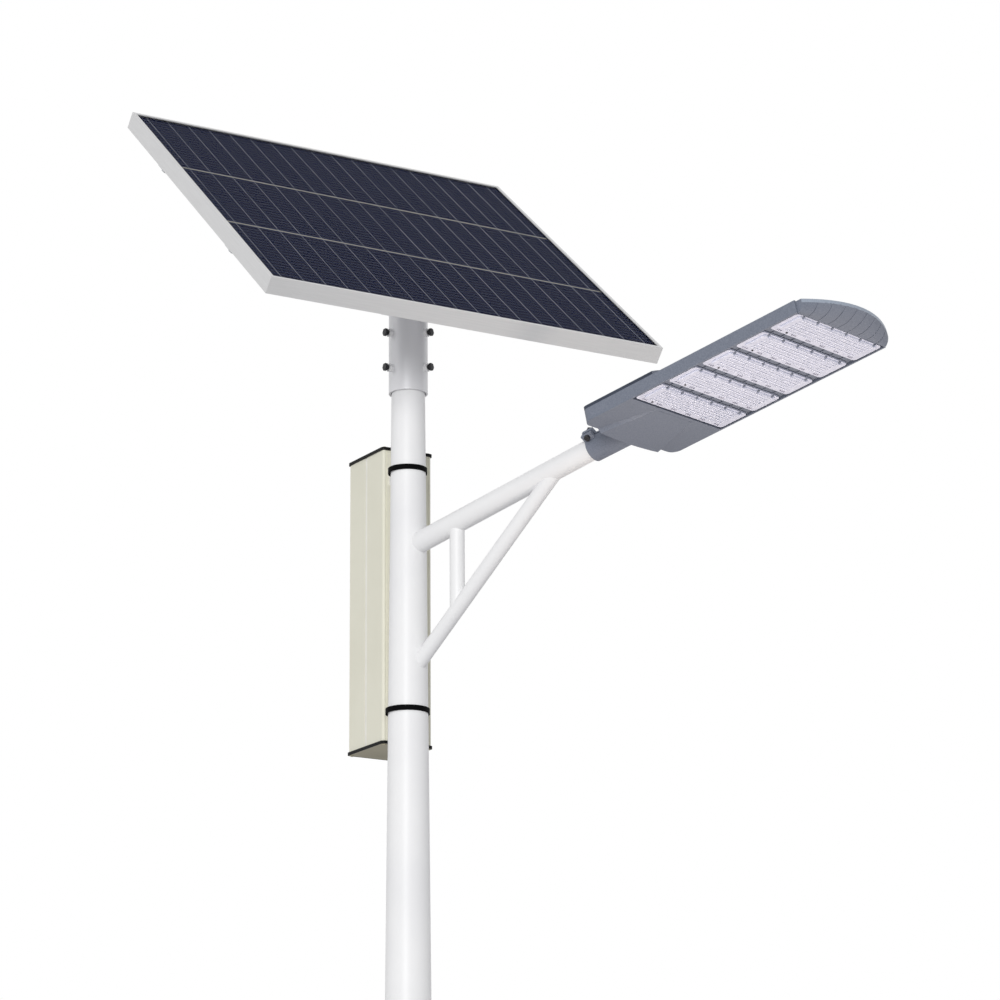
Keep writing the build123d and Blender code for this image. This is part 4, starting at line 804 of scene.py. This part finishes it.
# each pattern, its place from a module's edge and from the arm's axis, and its slot
clipHeight = module["rim"] - module["clip"][2] / 2
ventHeight = module["rim"] - module["ventRise"] / 2
patterns = {
    "lensBeads": (beads, (module["fieldMiddle"], 0, module["face"]), "lens_clear"),
    "rimClips": (clips, (module["clipFrom"], 0, clipHeight), "lens_clear"),
    "ventPlug": (vent, (*module["ventPlace"], ventHeight), "black_plastic"),
}
for name, (pattern, where, slot) in patterns.items():
    for index in range(module["count"]):
        piece = pattern       # the last module gets the pattern itself, the others a copy
        if index < module["count"] - 1:
            makeActive(pattern)
            bpy.ops.object.duplicate(linked=False)
            piece = bpy.context.object
        start = module["start"] + index * module["pitch"]
        shift = Matrix.Translation(((start + where[0]) * mm, where[1] * mm, where[2] * mm))
        placeFor(piece, name + str(index + 1), standMatrix("head") @ shift, "head")
print("LED modules finished")


# studio: floor, backdrop, lamps and camera

studio = {
    "floorColour": "#ededee",
    "floorRoughness": 0.9,
    "floorLift": 0.14,        # how much white the camera sees on top
    "floorSize": 60.0,        # metres
    "skyColour": "#fbfbfd",
    "skyLevel": 0.50,
    "keyLevel": 1.5,
    "keyTowards": (-0.497, 0.861, -0.11),
    "keyAngle": 24.0,         # degrees across, so shadows are soft
    "underLevel": 1.9,        # watts, from below, for the undersides
    "underColour": "#fff1e4",
    "underPlace": (1.12, -0.1, 2.2),
    "underTowards": (-0.03, 0.03, 1),
    "underSize": (0.9, 0.6),
    "underSpread": 34.0,      # degrees, so that it lights the head alone
}

# matt pale board; what the camera sees of it is lifted towards white and keeps its shadow
material, tree, shader, place = newMaterial(
    "paleFloor", studio["floorColour"], Roughness=studio["floorRoughness"],
)
straight = addNode(tree, "LightPath").outputs["Is Camera Ray"]
addNode(tree, "Math", {
    0: straight, 1: studio["floorLift"],
}, into=shader.inputs["Emission Strength"], operation="MULTIPLY")
shader.inputs["Emission Color"].default_value = linear("#ffffff")
deselectAll()
bpy.ops.mesh.primitive_plane_add(size=studio["floorSize"], location=(0, 0, 0))
floor = bpy.context.object
floor.name = "studioFloor"
floor.data.materials.append(material)

# the camera, reflections and clear pieces see a white backdrop; the light it gives is softer
world = bpy.data.worlds.new("paleStudio")
bpy.context.scene.world = world
world.use_nodes = True
tree = world.node_tree
tree.nodes.clear()
rays = addNode(tree, "LightPath")
seen = addNode(tree, "Math", {
    0: rays.outputs["Is Camera Ray"], 1: rays.outputs["Is Glossy Ray"],
}, operation="ADD")
seen = addNode(tree, "Math", {
    0: seen.outputs[0], 1: rays.outputs["Is Transmission Ray"],
}, operation="ADD", use_clamp=True)
soft = addNode(tree, "Background", {
    "Color": linear(studio["skyColour"]), "Strength": studio["skyLevel"],
})
white = addNode(tree, "Background", {"Color": linear("#ffffff"), "Strength": 1.0})
chosen = addNode(tree, "MixShader", {0: seen.outputs[0], 1: soft.outputs[0], 2: white.outputs[0]})
addNode(tree, "OutputWorld", {"Surface": chosen.outputs[0]})


def addLamp(kind, name, level, towards, place=(0, 0, 8)):
    # a soft lamp that shines along a direction
    deselectAll()
    bpy.ops.object.light_add(type=kind, location=place)
    lamp = bpy.context.object
    lamp.name = name
    lamp.data.energy = level
    lamp.rotation_mode = "QUATERNION"
    lamp.rotation_quaternion = Vector(towards).to_track_quat("-Z", "Y")
    return lamp


key = addLamp("SUN", "keyLamp", studio["keyLevel"], studio["keyTowards"])
key.data.angle = math.radians(studio["keyAngle"])

under = addLamp(
    "AREA", "underLamp", studio["underLevel"], studio["underTowards"], studio["underPlace"],
)
under.data.shape = "RECTANGLE"
under.data.size, under.data.size_y = studio["underSize"]
under.data.spread = math.radians(studio["underSpread"])
under.data.color = linear(studio["underColour"])[:3]
under.visible_camera = False

view = {
    "place": (5.273, -5.784, 2.391),
    "azimuth": 42.35,
    "pitch": 15.56,
    "lens": 129.6,
    "sensor": 36.0,
    "shift": 0.0915,
    "farthest": 200.0,
}
bpy.ops.object.camera_add(location=view["place"])
camera = bpy.context.object
camera.name = "viewCamera"
camera.rotation_euler = (math.radians(90 + view["pitch"]), 0, math.radians(view["azimuth"]))
camera.data.sensor_width = view["sensor"]
camera.data.lens = view["lens"]
camera.data.shift_x = view["shift"]
camera.data.clip_end = view["farthest"]
bpy.context.scene.camera = camera
bpy.context.scene.view_settings.view_transform = "Standard"
print("studio ready")
